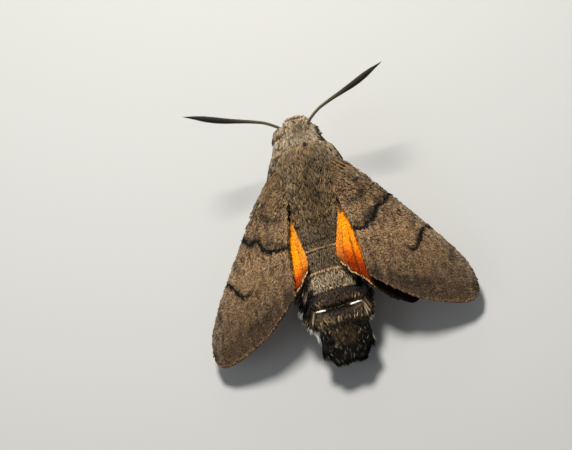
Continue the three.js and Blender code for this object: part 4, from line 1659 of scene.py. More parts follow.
BANDS = (
    Band("coat_head", -0.3, 3.9, Coat(185, 0.065, 0.75, 15, 18, 24, 0.7, seed=2), Slot.HEAD, lie=Lie.FACE),
    Band("coat_collar", 1.4, 4.5, Coat(160, 0.07, 1.05, 11, 14, 20, 0.9, seed=3), Slot.THORAX, -25, 205,
         feather=1.2),
    Band("coat_thorax_above", 3.8, 15.2, Coat(112, 0.08, 1.15, 12, 18, 30, 0.9, seed=4), Slot.THORAX,
         -14, 194, feather=0.6),
    Band("coat_thorax_below", 3.6, 15.4, Coat(52, 0.13, 1.2, 15, 16, 24, 1, seed=5), Slot.THORAX, 186, 354),
    Band("coat_abdomen_front", 13.6, 21.6, Coat(76, 0.105, 0.58, 9, 12, 12, 0.9, seed=6), Slot.ABDOMEN),
    Band("coat_abdomen_rear", 21.2, 25, Coat(76, 0.13, 0.95, 12, 12, 16, 0.8, seed=7), Slot.ABDOMEN,
         finish=REAR_FUR, step=0.06),
    Band("dot_behind_collar", 3.98, 4.3, Coat(900, 0.13, 0.32, 14, 12, 6, 1, seed=26), Slot.THORAX,
         66, 86, only="black", sunk=-0.54, step=0.04),
    Band("fringe_of_second_segment", 16.24, 16.44, Coat(420, 0.08, 0.26, 5, 8, 6, 1, seed=8), Slot.ABDOMEN,
         5, 175, only="tan", sunk=-0.17, step=0.03),
    Band("fringe_of_third_segment", 18.85, 19.12, Coat(230, 0.12, 0.55, 10, 12, 8, 1, seed=9), Slot.ABDOMEN,
         0, 180, only="tan", sunk=-0.12, step=0.05),
    Band("fringe_of_fourth_segment", 21.02, 21.2, Coat(300, 0.11, 0.35, 8, 8, 6, 1, seed=10), Slot.ABDOMEN,
         0, 180, only="tan", sunk=-0.12, step=0.03),
    Band("bars_of_fifth_segment", 22.9, 23.6, Coat(1500, 0.06, 0.2, 4, 6, 4, 1, seed=11), Slot.ABDOMEN,
         15, 165, WHITE_FUR, only="white", sunk=-0.12, step=0.03),
    *both_sides("brow_tuft", 27, 46, 12, start=1.5, end=3.6, coat=Coat(260, 0.08, 0.95, 4, 16, 12, 0.8),
                slot=Slot.HEAD, lie=Lie.BROW),
    Band("cheek_tuft_left", 1, 3.2, Coat(380, 0.065, 1.2, 5, 16, 14, 0.8, seed=29), Slot.HEAD, 120, 158,
         lie=Lie.OUT, spread=1),
    Band("collar_tuft_left", 1.1, 5.2, Coat(150, 0.09, 1.6, 8, 15, 16, 0.9, seed=27), Slot.THORAX, 142, 190,
         lie=Lie.OUT, spread=0.7),
    *both_sides("shoulder_tuft", 8, 54, 14, start=4, end=9.2, coat=Coat(95, 0.1, 1.4, 5, 14, 18, 1),
                slot=Slot.THORAX, lie=Lie.OUT),
    Band("low_shoulder_tuft_left", 5.2, 8, Coat(150, 0.1, 1.5, 8, 14, 16, 1, seed=33), Slot.THORAX,
         158, 186, lie=Lie.OUT, spread=0.8),
    *both_sides("wing_root_tuft", -5, 44, 24, start=8.8, end=12.8, coat=Coat(105, 0.1, 1.6, 8, 14, 16, 1),
                slot=Slot.THORAX, lie=Lie.OUT),
    *both_sides("side_tuft", -24, 26, 16, start=18, end=25,
                coat=Coat(110, 0.12, 2.1, 12, 10, 14, 1.2, 0.2), slot=Slot.ABDOMEN, blade=Blade.LOCK,
                lie=Lie.OUT, spread=0.45),
    Band("low_tuft_left", 19.2, 24.6, Coat(90, 0.12, 2.3, 12, 10, 14, 1.2, 0.2, seed=28), Slot.ABDOMEN,
         176, 200, blade=Blade.LOCK, lie=Lie.OUT, spread=0.75),
    Band("white_tuft_left", 20.2, 21.9, Coat(330, 0.13, 2.5, 9, 8, 10, 1.2, 0.2, seed=18), Slot.ABDOMEN,
         180, 215, WHITE_FUR, Blade.LOCK, Lie.OUT, 0.75, "white"),
    Band("low_white_tuft_left", 22.6, 24.8, Coat(420, 0.13, 2.3, 9, 8, 10, 1.2, 0.2, seed=31), Slot.ABDOMEN,
         180, 232, WHITE_FUR, Blade.LOCK, Lie.OUT, 0.35, "white"),
    Band("white_tuft_right", 21, 24.2, Coat(120, 0.1, 1.5, 12, 9, 12, 1.2, 0.2, seed=19), Slot.ABDOMEN,
         -46, -4, WHITE_FUR, Blade.LOCK, Lie.OUT, 0.3, "white"),
    Band("fan_above", 24.9, 28.8, Coat(150, 0.065, 0.9, 10, 9, 10, 0.9, seed=20), Slot.FAN, -10, 190,
         FAN_FUR, step=0.1),
    Band("fan_below", 24.9, 28.8, Coat(90, 0.09, 0.95, 10, 10, 12, 0.9, seed=21), Slot.FAN, 180, 360,
         FAN_FUR, step=0.1),
    Band("fan_locks", 25.4, 28.4, Coat(80, 0.1, 2.2, 5, 4, 4, 1.2, 0.1, seed=22), Slot.FAN, finish=FAN_FUR,
         blade=Blade.LOCK, lie=Lie.FAN, sunk=0.1, step=0.1),
)


# Wings


EDGE_STEPS = 400


@dataclass(frozen=True)
class Vein:
    """A vein: how far across the wing it is at the root and at the edge, and if it starts at the cell."""

    root: float
    edge: float
    from_cell: bool = False


@dataclass(frozen=True)
class WingPlan:
    """A wing's shape in its own plane: its edges, turn, arch and veins."""

    name: str
    slot: Slot
    shoulder: Triple
    root: tuple[Pair, ...]
    costa: tuple[Pair, ...]
    termen: tuple[Pair, ...]
    inner: tuple[Pair, ...]
    turn: dict[Side, float]
    camber: float
    root_dip: float
    cell_end: float
    veins: tuple[Vein, ...]
    rows: int
    columns: int


FOREWING = WingPlan(
    name="forewing",
    slot=Slot.FOREWING,
    shoulder=(4.2, 7, 2.6),
    root=((-1.5, -1.2), (-1.7, 1), (-1.9, 3.4)),
    costa=((-1.5, -1.2), (0, 0.1), (1.7, 1.75), (4.4, 4.75), (6.5, 7.3), (8.1, 9.3), (10.1, 12), (11.5, 14.3),
           (12.02, 16.2), (12, 17.7), (11.65, 18.55)),
    termen=((11.65, 18.55), (11.05, 18.9), (10, 19), (8.6, 18.8), (7, 18.4), (5.2, 17.8), (3.7, 17),
            (2.2, 15.9), (1, 15), (0, 14.2)),
    inner=((-1.9, 3.4), (-1.5, 4.5), (-1, 6.6), (-0.5, 8.5), (-0.2, 11), (0, 14.2)),
    turn={Side.LEFT: -0.5, Side.RIGHT: 0.6},
    camber=0.35,
    root_dip=0.22,
    cell_end=0.5,
    veins=(Vein(0.06, 0.04), Vein(0.16, 0.1), Vein(0.26, 0.19), Vein(0.34, 0.3), Vein(0.46, 0.42, True),
           Vein(0.57, 0.54, True), Vein(0.66, 0.67), Vein(0.75, 0.8), Vein(0.88, 0.92)),
    rows=150,
    columns=84,
)
HINDWING = WingPlan(
    name="hindwing",
    slot=Slot.HINDWING,
    shoulder=(4.2, 7, 1.45),
    root=((-1.7, 3), (-1.9, 4), (-2.1, 5)),
    costa=((-1.7, 3), (0.6, 5.4), (3, 9.2), (5.1, 13.2), (6, 16.1)),
    termen=((6, 16.1), (5.75, 17), (5, 17.45), (4.1, 17.25), (2.4, 16.3), (0.85, 15.05), (-0.1, 13.95),
            (-1, 13.3), (-1.75, 12.8), (-1.85, 12.3), (-2.3, 12.1), (-2.6, 11.7)),
    inner=((-2.1, 5), (-1.75, 5.8), (-2.2, 7.9), (-2.65, 9.9), (-2.75, 11), (-2.6, 11.7)),
    turn={Side.LEFT: 2.5, Side.RIGHT: -2.5},
    camber=0.1,
    root_dip=0,
    cell_end=0.45,
    veins=(Vein(0.1, 0.08), Vein(0.24, 0.2), Vein(0.36, 0.32), Vein(0.5, 0.47, True), Vein(0.62, 0.6),
           Vein(0.74, 0.74), Vein(0.88, 0.9)),
    rows=110,
    columns=70,
)


def along_edge(knots: Sequence[Pair], share: Array) -> Array:
    """Places along a smooth edge, by the share of the way from its first knot to its last."""
    line = curve_through(knots, EDGE_STEPS)
    steps = np.linspace(0, 1, EDGE_STEPS)
    return np.stack([np.interp(share, steps, line[:, k]) for k in (0, 1)], axis=-1)


@dataclass
class Wing:
    """One wing: a thin membrane with raised veins, scaled above, on a forewing also below, and fringed."""

    plan: WingPlan
    side: Side
    stance: Stance
    coats: Coats
    finishes: Finishes
    droop: float = math.radians(23.7)
    lengthways: float = 0.03
    top: float = 0.14
    bottom: float = 0.02
    vein_height: float = 0.07
    vein_width: float = 0.009
    fringe: float = 0.3
    fringe_roots: tuple[float, ...] = (0.965, 0.975, 0.985)
    fringe_columns: int = 220

    def plane(self, u: Array, v: Array) -> Array:
        """Places in the wing's plane.

        Args:
            u: Share of the way from root to outer edge.
            v: Share of the way from leading to trailing edge.

        Returns:
            The places [p, q], turned as this wing is.
        """
        plan = self.plan
        out, back = u[..., None], v[..., None]
        places = along_edge(plan.costa, u) * (1 - back) + along_edge(plan.inner, u) * back
        places = places + along_edge(plan.root, v) * (1 - out) + along_edge(plan.termen, v) * out
        corners = ((plan.costa[0], (1 - out) * (1 - back)), (plan.inner[0], (1 - out) * back),
                   (plan.costa[-1], out * (1 - back)), (plan.inner[-1], out * back))
        for corner, share in corners:
            places = places - np.array(corner) * share
        turn = -math.radians(plan.turn[self.side])
        pivot = np.array(plan.root[0])
        spin = np.array([[math.cos(turn), math.sin(turn)], [-math.sin(turn), math.cos(turn)]])
        return (places - pivot) @ spin + pivot

    def veins(self, u: Array, v: Array, widened: float = 1) -> Array:
        """How strongly a vein shows at each place, from 0 to 1, with the veins widened by a factor."""
        best = np.zeros(u.shape)
        cell_end = self.plan.cell_end
        for vein in self.plan.veins:
            off = v - (vein.root + (vein.edge - vein.root) * u)
            strength = Glow(self.vein_width * widened).of(off) * (1 - 0.5 * u)
            if vein.from_cell:
                strength = strength * smooth(u, cell_end - 0.05, cell_end + 0.05)
            best = np.maximum(best, strength)
        return best

    def lift(self, plane: Array, height: Array) -> Array:
        """Sets places of the plane in the frame.

        Args:
            plane: Places [p, q].
            height: How far over the plane each is.

        Returns:
            Places in metres.
        """
        p, q = plane[..., 0], plane[..., 1]
        x, s, z = self.plan.shoulder
        dip = self.plan.root_dip * np.maximum(-p, 0) ** 2 * smooth(q, 4, 1.5)
        c, n = math.cos(self.droop), math.sin(self.droop)
        out = self.side.sign * (x + p * c + height * n)
        up = z - p * n + q * self.lengthways + height * c - dip
        return self.stance.place(np.stack([out, s + q, up], axis=-1))

    def grid(self, u: Array, v: Array, height: float, raised: float = 0) -> Sheet:
        """Makes a sheet of the wing over shares u and v, with its markings.

        Args:
            u: Shares from root to outer edge, in one dimension.
            v: Shares from leading to trailing edge, in one dimension.
            height: How far over the wing's middle it lies.
            raised: How high its veins stand.

        Returns:
            The sheet.
        """
        uu, vv = np.meshgrid(u, v, indexing="ij")
        plane = self.plane(uu, vv)
        arch = self.plan.camber * np.sin(math.pi * vv) * np.sin(math.pi * np.minimum(uu + 0.1, 1))
        veins = self.veins(uu, vv)
        values = self.marks(plane, uu, vv, veins)
        below = Stretch(0.05, 0.95, 0.035).of(vv) * smooth(uu, 0.985, 0.96)
        values["under"] = below if height < self.top else np.zeros(uu.shape)
        return Sheet(self.lift(plane, arch + height + raised * veins), values)

    def marks(self, plane: Array, u: Array, v: Array, veins: Array) -> Values:
        """Works out the markings; each kind of wing has its own."""
        raise NotImplementedError

    @property
    def up(self) -> Array:
        """The way the wing's upper side looks."""
        return self.stance.direction([self.side.sign * math.sin(self.droop), 0, math.cos(self.droop)])

    def grow(self, what: str, sheet: Sheet, cover: Array | float, reach: Array | float, coat: Coat,
             finish: Finish, blade: Blade = Blade.SCALE, above: bool = True) -> None:
        """Grows one of the wing's coats, whose tufts lie towards the outer edge.

        Args:
            what: What the coat is called on the wing.
            sheet: The sheet that it grows from.
            cover: How much of the coat grows at each place.
            reach: How much of its full length each tuft has.
            coat: The coat's sizes.
            finish: The tufts' finish.
            blade: The tuft's shape.
            above: True on the upper side.
        """
        values = sheet.values
        values.setdefault("lie", unit(np.gradient(sheet.places, axis=0)))
        values["rise"] = np.ones(sheet.shape)
        values["cover"] = np.broadcast_to(cover, sheet.shape)
        values["reach"] = np.broadcast_to(reach, sheet.shape)
        name = f"{self.plan.name}_{what}_{self.side.value}"
        bed = sheet_object(name, sheet, ROOT_MAP)
        flip_if_inward(bed, self.up if above else -self.up)
        self.coats.lay(name, bed, coat, blade, self.finishes.of(finish), self.plan.slot)

    def grow_fringe(self, coat: Coat, finish: Finish) -> None:
        """Grows the fringe from a narrow strip along the outer edge."""
        v = np.linspace(0, 1, self.fringe_columns)
        sheet = self.grid(np.array(self.fringe_roots), v, (self.top + self.bottom) / 2)
        outward = unit(sheet.places[-1] - sheet.places[0])
        sheet.values["lie"] = np.tile(outward, (len(self.fringe_roots), 1, 1))
        sheet.values["under"] = np.zeros(sheet.shape)
        self.grow("fringe", sheet, 1, 1, coat, finish)

    def shares(self) -> tuple[Array, Array]:
        """The shares from root to outer edge, and from leading to trailing edge, of the sheets' places."""
        return np.linspace(0, 1, self.plan.rows), np.linspace(0, 1, self.plan.columns)

    def build_membrane(self, finish: Finish) -> None:
        """Builds the membrane."""
        plan, tag = self.plan, self.side.value
        u, v = self.shares()
        membrane = plate_object(f"{plan.name}_membrane_{tag}", self.grid(u, v, self.top, self.vein_height),
                                self.grid(u, v, self.bottom), self.up)
        dress(membrane, plan.slot, f"{plan.name}_{tag}", finish=self.finishes.of(finish))


BLOTCHES = Pattern(0.7, 41)
FOREWING_LINES = (
    Patch({"inner_line": Fade(0.31, 0.2)}),
    Patch({"outer_line": Fade(0.29, 0.18), "p": Fade(4, 5.6)}),
    Patch({"ring": Fade(0.12, 0.05)}),
    Patch({"dot": Fade(0.14, 0.05)}),
    Patch({"base_dark": Fade(0.62, 0.4)}),
)
FOREWING_MARKS = {
    "cloud": (
        Patch({"cloud_line": Glow(0.75)}, 0.7, (Pattern(0.6, 71, (1, 0.6), Fade(0.2, 0.6)),)),
        Patch({"base_line": Glow(0.5)}, 1, (BLOTCHES,)),
        Patch({"u": Fade(0.8, 0.93)}, 1, (Pattern(0.22, 43, (1, 0.35), least=0.25, gain=0.5),)),
        Patch({"inside": Glow(0.5)}, 0.8, (replace(BLOTCHES, fade=Fade(0.1, 0.7)),)),
        Patch({"past_second": Glow(0.5)}, 0.55, (BLOTCHES,)),
        Patch({}, 0.8, (Pattern(0.19, 47, over=0.83), Pattern(1.5, 73, fade=Fade(0.3, 0.6)))),
        Patch({}, 0.45, (Pattern(0.34, 79, (1, 0.2), Fade(0.5, 0.85)),)),
        Patch({}, 0.3, (replace(BLOTCHES, least=-0.5, gain=1),)),
    ),
    "white": (Patch({"base_pale": Fade(0.26, 0.1)}),),
    "tip_line": (Patch({"u": Stretch(0.978, 0.984, 0.006)}, 0.5),),
    "checks": (Patch({"u": Fade(0.985, 0.99)}, 0.6),),
    "edge": (Patch({"v": Fade(0.14, 0.03)}),),
    "warm": (Patch({"q": Fade(6, 1)}, 1, (replace(BLOTCHES, fade=Fade(0.2, 0.8)),)),),
}
HINDWING_FINE = Pattern(0.2, 53, (1, 0.3))
HINDWING_MARKS = {
    # The dark apex, and the wide border towards it, are partly the hindwing's own brown border and partly
    # painted shade where the apex lies under the forewing.
    "apex": (Patch({"p": Fade(-0.2, 0.6), "q": Fade(12.8, 13.9)}),),
    "border": (
        Patch({"edge": Fade(0.34, 0.16)}, 0.85),
        Patch({"edge": Fade(2.3, 1.3), "p": Fade(-0.2, 0.6), "q": Fade(12.8, 13.9)}),
    ),
    "inner_border": (Patch({"edge": Fade(0.9, 0.3), "v": Fade(0.85, 0.95)}, 0.6),),
    "rim": (Patch({"edge": Fade(0.12, 0.06)}),),
    "fold": (Patch({"v": Fade(0.84, 0.95)}, 1, (replace(HINDWING_FINE, least=0.4),)),),
    "base": (Patch({"ragged": Fade(6.2, 5.5)}),),
}


def shifted(plane: Array, size: float, seeds: tuple[int, int], reach: float) -> Array:
    """Shifts places of a plane at random, by half of reach either way."""
    return plane + np.stack([Pattern(size, seed).shift(plane, reach) for seed in seeds], axis=-1)


class Forewing(Wing):
    """A forewing: brown, with two black cross lines, a small ring and a dark cloud before its edge."""

    LINES = {
        Side.RIGHT: (
            ((4.42, 4.7), (3.88, 5.21), (3.39, 5.71), (2.79, 5.95), (2.41, 6.28), (2.06, 6.99), (1.75, 7.58),
             (1.19, 7.88), (0.87, 8.22), (0.37, 8.34), (-0.58, 8.28)),
            ((8.21, 9.42), (7.77, 9.24), (7.24, 9.42), (6.91, 10), (6.56, 10.71), (6.09, 11.4), (5.59, 11.7),
             (5.15, 11.52), (4.65, 11.08), (3.98, 10.87)),
        ),
        Side.LEFT: (
            ((4.59, 5.54), (4.19, 6.2), (3.59, 6.43), (2.83, 6.4), (2.5, 6.95), (2.23, 7.71), (1.58, 8.13),
             (0.7, 8.31), (-0.5, 8.49)),
            ((8, 9.75), (7.77, 9.85), (7.28, 10.53), (6.74, 11.39), (6.21, 11.92), (5.36, 11.91),
             (4.7, 11.51),
             (4.07, 11.26)),
        ),
    }
    RINGS = {Side.RIGHT: (5, 7.1), Side.LEFT: (5.25, 7.7)}
    RING_RADIUS = 0.24
    DOT_FROM_RING = (0.12, 0.55)
    BASE_SPOTS = {Side.RIGHT: (0.95, 2.3), Side.LEFT: (1.26, 2.47)}
    BASE_TURN = ((0.5, 0.86), (-0.86, 0.5))
    CLOUD = ((10.06, 13.4), (9.2, 14.3), (8.4, 15.1), (6.97, 15.6), (5.5, 15.8), (4.31, 15), (3.32, 14.6),
             (2.04, 13.9), (0.9, 14))
    BASE_SHADE = ((0.27, 1.96), (1.1, 2.57), (2.2, 3.03), (1.4, 3.88), (0.03, 5.1))
    CHECKS = 9

    def marks(self, plane: Array, u: Array, v: Array, veins: Array) -> Values:
        """Works out the forewing's markings.

        Args:
            plane: Places [p, q].
            u: Share of the way out.
            v: Share of the way from leading to trailing edge.
            veins: How strongly veins show.

        Returns:
            A mask for each marking.
        """
        inner, outer = (curve_through(line, 40) for line in self.LINES[self.side])
        worn = shifted(plane, 0.16, (31, 37), 0.3)
        spot = plane - np.array(self.RINGS[self.side])
        base = (plane - np.array(self.BASE_SPOTS[self.side])) @ np.array(self.BASE_TURN)
        measures = {
            "p": plane[..., 0], "q": plane[..., 1], "u": u, "v": v,
            "inner_line": distance_to(worn, inner),
            "outer_line": distance_to(worn, outer),
            "ring": np.abs(np.linalg.norm(spot * (1, 0.8), axis=-1) - self.RING_RADIUS),
            "dot": np.linalg.norm(spot - self.DOT_FROM_RING, axis=-1),
            "base_dark": np.linalg.norm(base * (1, 2), axis=-1),
            "base_pale": np.linalg.norm(base * (1, 2.6), axis=-1),
            "cloud_line": distance_to(shifted(plane, 0.9, (61, 67), 1.1), curve_through(self.CLOUD, 30)),
            "base_line": distance_to(plane, curve_through(self.BASE_SHADE, 20)),
            "inside": distance_to(plane, inner - (0, 0.5)),
            "past_second": distance_to(plane, outer + (-0.5, 0.5)),
        }
        sums = add_up(FOREWING_MARKS, measures, plane)
        lines = np.maximum.reduce([patch.mask(measures, plane) for patch in FOREWING_LINES])
        checks = 0.5 + 0.5 * np.sin(v * self.CHECKS * 2 * math.pi)
        return {
            "back": plane[..., 1], "cloud": np.clip(sums["cloud"] + 0.45 * veins, 0, 1),
            "black": np.clip(lines * (1 - sums["white"]), 0, 1), "white": sums["white"],
            "rim": np.clip(sums["tip_line"] + sums["checks"] * checks, 0, 1), "edge": sums["edge"],
            "warm": sums["warm"],
        }

    def build(self) -> None:
        """Builds the membrane, its scales, its fringe and the hair at its root."""
        self.build_membrane(FOREWING_SKIN)
        u, v = self.shares()
        top = self.grid(u, v, self.top, self.vein_height)
        back = top.values["back"]
        cover = smooth(back, -0.5, 0.5) * (u[:, None] < 0.985)
        self.grow("scales", top, cover, 1 + 0.9 * smooth(back, 6, 2),
                  Coat(94, 0.137, 0.47, 12, 11, 12, 0.9, 0.02, seed=31), FOREWING_SCALES)
        under = self.grid(u, v, self.bottom)
        cover = smooth(under.values["back"], 1, 3) * (u[:, None] < 0.95)
        self.grow("under_scales", under, cover, 1,
                  Coat(22, 0.24, 0.74, 9, 9, 10, 0.9, 0.02, seed=32), FOREWING_SCALES, above=False)
        self.grow_fringe(Coat(620, 0.07, self.fringe, 3, 6, 4, 1, 0, seed=33), FOREWING_SCALES)
        root = self.grid(u[: self.plan.rows // 2], v, self.top, self.vein_height)
        back = root.values["back"]
        cover = smooth(back, 4.2, 1.2) * smooth(v, 0.02, 0.12)
        self.grow("root_hair", root, cover, 1.1 - 0.4 * smooth(back, 1, 4),
                  Coat(80, 0.11, 0.95, 9, 14, 18, 0.9, 0.02, seed=34), FOREWING_SCALES, Blade.HAIR)


class Hindwing(Wing):
    """A hindwing: orange, redder outwards, with thin dark veins, a dark border and a pale fringe."""

    REDDENS = {Side.RIGHT: Fade(7, 15), Side.LEFT: Fade(9, 16.5)}
    RED_EDGE = {Side.RIGHT: Fade(2.8, 0.3), Side.LEFT: Fade(1.8, 0.3)}
    VEINS_WIDENED = 1.4

    def marks(self, plane: Array, u: Array, v: Array, veins: Array) -> Values:
        """Works out the hindwing's markings.

        Args:
            plane: Places [p, q].
            u: Share of the way out.
            v: Share of the way from leading to trailing edge.
            veins: How strongly veins show.

        Returns:
            A mask for each marking.
        """
        back = plane[..., 1]
        edge = distance_to(plane, self.plane(np.ones(60), np.linspace(0, 1, 60)))
        ragged = back + HINDWING_FINE.shift(plane, 0.8)
        measures = {"p": plane[..., 0], "q": back, "v": v, "edge": edge, "ragged": ragged}
        sums = add_up(HINDWING_MARKS, measures, plane)
        red = 0.75 * self.REDDENS[self.side].of(back) + 0.55 * self.RED_EDGE[self.side].of(edge)
        blush = 0.15 * HINDWING_FINE.at(plane) + 0.85 * np.clip(red, 0, 1)
        lines = self.veins(u, v, self.VEINS_WIDENED) * 1.6 * smooth(u, 0.3, 0.6)
        # no pale fringe on the apex, which is dark partly as painted shade under the forewing
        pale = sums["rim"] * (1 - sums["apex"])
        border = np.maximum(sums["border"], sums["inner_border"])
        return {
            "back": back, "blush": np.clip(blush, 0, 1), "vein": np.clip(lines, 0, 1), "base": sums["base"],
            "black": np.clip(border * (1 - pale), 0, 1), "white": pale, "fold": sums["fold"],
        }

    def build(self) -> None:
        """Builds the membrane, its scales and its fringe."""
        self.build_membrane(HINDWING_SKIN)
        u, v = self.shares()
        self.grow("scales", self.grid(u, v, self.top, self.vein_height), smooth(v, 0.25, 0.4), 1,
                  Coat(130, 0.13, 0.43, 8, 7, 8, 0.9, 0.02, seed=35), HINDWING_SCALES)
        self.grow_fringe(Coat(800, 0.055, self.fringe, 4, 6, 4, 1, 0, seed=36), HINDWING_SCALES)


# Face and legs


def frames_along(path: Array) -> tuple[Array, Array]:
    """Two directions square to a path at each of its points, turned as little as can be.

    Args:
        path: The path's points.

    Returns:
        The two directions at each point.
    """
    ahead = unit(np.gradient(path, axis=0))
    across = [unit(np.cross(ahead[0], [0.3, 0.2, 1]))]
    for way in ahead[1:]:
        across.append(unit(across[-1] - way * (across[-1] @ way)))
    across = np.array(across)
    return across, np.cross(ahead, across)


def tube_sheet(path: Array, radii: Array, sides: int) -> Sheet:
    """A closed round sheet along a path.

    Args:
        path: Points in metres.
        radii: The radius at each, in metres.
        sides: How many sides it has.

    Returns:
        The sheet, with its lie, notch and share.
    """
    across, raised = frames_along(path)
    angle = np.linspace(0, 2 * math.pi, sides, endpoint=False)
    around = across[:, None] * np.cos(angle)[None, :, None] + raised[:, None] * np.sin(angle)[None, :, None]
    places = path[:, None] + around * radii[:, None, None]
    shape = places.shape[:2]
    share = np.broadcast_to(np.linspace(0, 1, len(path))[:, None], shape)
    ones = np.ones(shape)
    values = {"lie": unit(np.gradient(places, axis=0)), "share": share, "notch": np.zeros(shape),
              "cover": ones, "rise": ones, "reach": ones}
    return Sheet(places, values, closed=True, capped=True)


@dataclass
class Face:
    """Eyes, antennae, palps and proboscis."""

    stance: Stance
    coats: Coats
    finishes: Finishes
    paths: PathTree
    facets: FacetTree = field(default_factory=FacetTree)
    facet_rise: float = 0.004
    facet_crown: float = 0.8
    facet_fineness: int = 4
    antenna: tuple[Triple, ...] = (
        (1.1, 1.85, 0.9), (1.25, 1.45, 1.2), (1.65, 1.1, 1.62), (2.3, 0.66, 1.98), (3.3, 0.2, 2.5),
        (4.6, -0.08, 3.15), (6, -0.28, 3.85), (7.5, -0.5, 4.6), (9, -0.82, 5.35), (10.3, -1.15, 6),
        (11.5, -1.42, 6.55))
    antenna_girth: tuple[float, ...] = (
        0.2, 0.18, 0.175, 0.18, 0.2, 0.23, 0.28, 0.34, 0.37, 0.34, 0.2, 0.03)
    antenna_points: int = 160
    antenna_segments: int = 64
    palp: tuple[Triple, ...] = (
        (0.85, 1.6, -1.85), (0.75, 0.85, -2.15), (0.66, 0.2, -2), (0.6, -0.2, -1.4), (0.56, -0.28, -0.6))
    palp_girth: tuple[float, ...] = (0.3, 0.36, 0.36, 0.3, 0.12)
    palp_points: int = 40
    palp_coat: Coat = Coat(260, 0.07, 0.58, 17, 16, 18, 0.6, seed=16)
    stem: tuple[Triple, ...] = ((0, 0.7, -1.4), (0, 1, -1.9), (0, 1.15, -2.4))
    coil_centre: Pair = (0.35, -2.75)
    coil_radii: Pair = (0.8, 0.2)
    coil_turns: float = 2.6
    coil_girth: float = 0.13
    coil_rings: int = 230

    def build(self) -> None:
        """Builds every piece of the face."""
        segment = barrel("antenna_segment", ((-0.5, 0.76), (-0.15, 0.94), (0.3, 1.04), (0.5, 0.8)), 14)
        for side in Side:
            self.eye(side)
            path = self.line(self.antenna, side, self.antenna_points)
            girth = along_path(self.antenna_girth, self.antenna_points) * MM
            made = self.paths.string(f"antenna_horn_{side.value}", path, girth, segment,
                                     self.antenna_segments, 1.12, self.finishes.of(ANTENNA_HORN))
            dress(made, Slot.ANTENNA, f"antenna_{side.value}")
            self.build_palp(side)
        self.proboscis()

    def line(self, knots: Sequence[Triple], side: Side, count: int) -> Array:
        """A smooth line in the frame through body places, mirrored for the left side."""
        return self.stance.place(curve_through(knots, count) * np.array([side.sign, 1, 1]))

    def eye(self, side: Side) -> None:
        """Builds one eye from facets."""
        made = self.facets.run(new_mesh("eye_bed", np.zeros((1, 3)), []), f"eye_facets_{side.value}", {
            "Radius": (EYE_RADIUS - self.facet_rise) * MM, "Fineness": self.facet_fineness,
            "Rise": self.facet_rise * MM, "Crown": self.facet_crown, "Finish": self.finishes.of(EYE_LENS)})
        centre = self.stance.place(np.array(EYE_CENTRE) * np.array([side.sign, 1, 1]))
        made.data.transform(Matrix.Translation(Vector(centre)))
        dress(made, Slot.EYE, f"eye_{side.value}")

    def build_palp(self, side: Side) -> None:
        """Builds one palp and its coat."""
        girth = along_path(self.palp_girth, self.palp_points) * MM
        sheet = tube_sheet(self.line(self.palp, side, self.palp_points), girth, 24)
        skin = sheet_object(f"palp_skin_{side.value}", sheet)
        dress(skin, Slot.PALP, f"palp_{side.value}", finish=self.finishes.of(PALP_SKIN))
        sheet.values["reach"] = 1 - 0.5 * sheet.values["share"]
        name = f"palp_coat_{side.value}"
        self.coats.lay(name, sheet_object(name, sheet, ROOT_MAP), self.palp_coat, Blade.HAIR,
                       self.finishes.of(PALP_FUR), Slot.PALP)

    def proboscis(self) -> None:
        """Builds the coiled proboscis from rings strung on a spiral."""
        turns = np.linspace(0, self.coil_turns * 2 * math.pi, 220)
        wide, tight = self.coil_radii
        radius = wide - (wide - tight) * turns / turns[-1]
        s = self.coil_centre[0] + radius * np.cos(turns)
        z = self.coil_centre[1] - radius * np.sin(turns)
        stem = curve_through((*self.stem, (0, s[0], z[0])), 30)[:-1]
        spiral = np.vstack([stem, np.stack([0 * s, s, z], 1)])
        girth = np.linspace(1, 0.55, len(spiral)) * self.coil_girth * MM
        ring = barrel("proboscis_ring", ((-0.5, 0.9), (0, 1), (0.5, 0.9)), 12)
        made = self.paths.string("proboscis_coil", self.stance.place(spiral), girth, ring,
                                 self.coil_rings, 1.15, self.finishes.of(PROBOSCIS_HORN))
        dress(made, Slot.PROBOSCIS, "proboscis")


@dataclass(frozen=True)
class LegPlan:
    """A leg's joints, out from the body's middle, forwards and over the floor, and its spurs."""

    name: str
    hip: Triple
    knee: Triple
    ankle: Triple
    toe: Pair
    spurs: int


LEGS = (
    LegPlan("front", (1.2, 7.3, 3.2), (3, 8, 3.1), (3.1, 9.4, 0.9), (2.2, 10.9), 0),
    LegPlan("mid", (1.7, 4.4, 2.8), (5, 4, 3.7), (6.6, 3, 0.9), (7.4, 1.1), 1),
    LegPlan("hind", (1.7, 1.3, 2.6), (4.7, -0.8, 3.5), (5.4, -4, 0.9), (5.9, -6), 2),
)


def cones_object(name: str, cones: Sequence[tuple[Array, Array, float]], sides: int = 8) -> Object:
    """Makes small closed cones as one object.

    Args:
        name: The object's name.
        cones: The base, tip and base radius of each, in metres.
        sides: How many sides each has.

    Returns:
        The object.
    """
    points, faces = [], []
    angle = np.linspace(0, 2 * math.pi, sides, endpoint=False)[:, None]
    for base, tip, radius in cones:
        across, raised = frames_along(np.stack([base, (base + tip) / 2, tip]))
        ring = across[0] * np.cos(angle) + raised[0] * np.sin(angle)
        low = len(points)
        high, point = low + sides, low + 2 * sides
        points += [*(base + ring * radius), *((base + tip) / 2 + ring * radius * 0.65), tip]
        for k in range(sides):
            following = (k + 1) % sides
            faces.append((low + k, low + following, high + following, high + k))
            faces.append((high + k, high + following, point))
        faces.append(tuple(range(high - 1, low - 1, -1)))
    return new_mesh(name, np.array(points), faces)


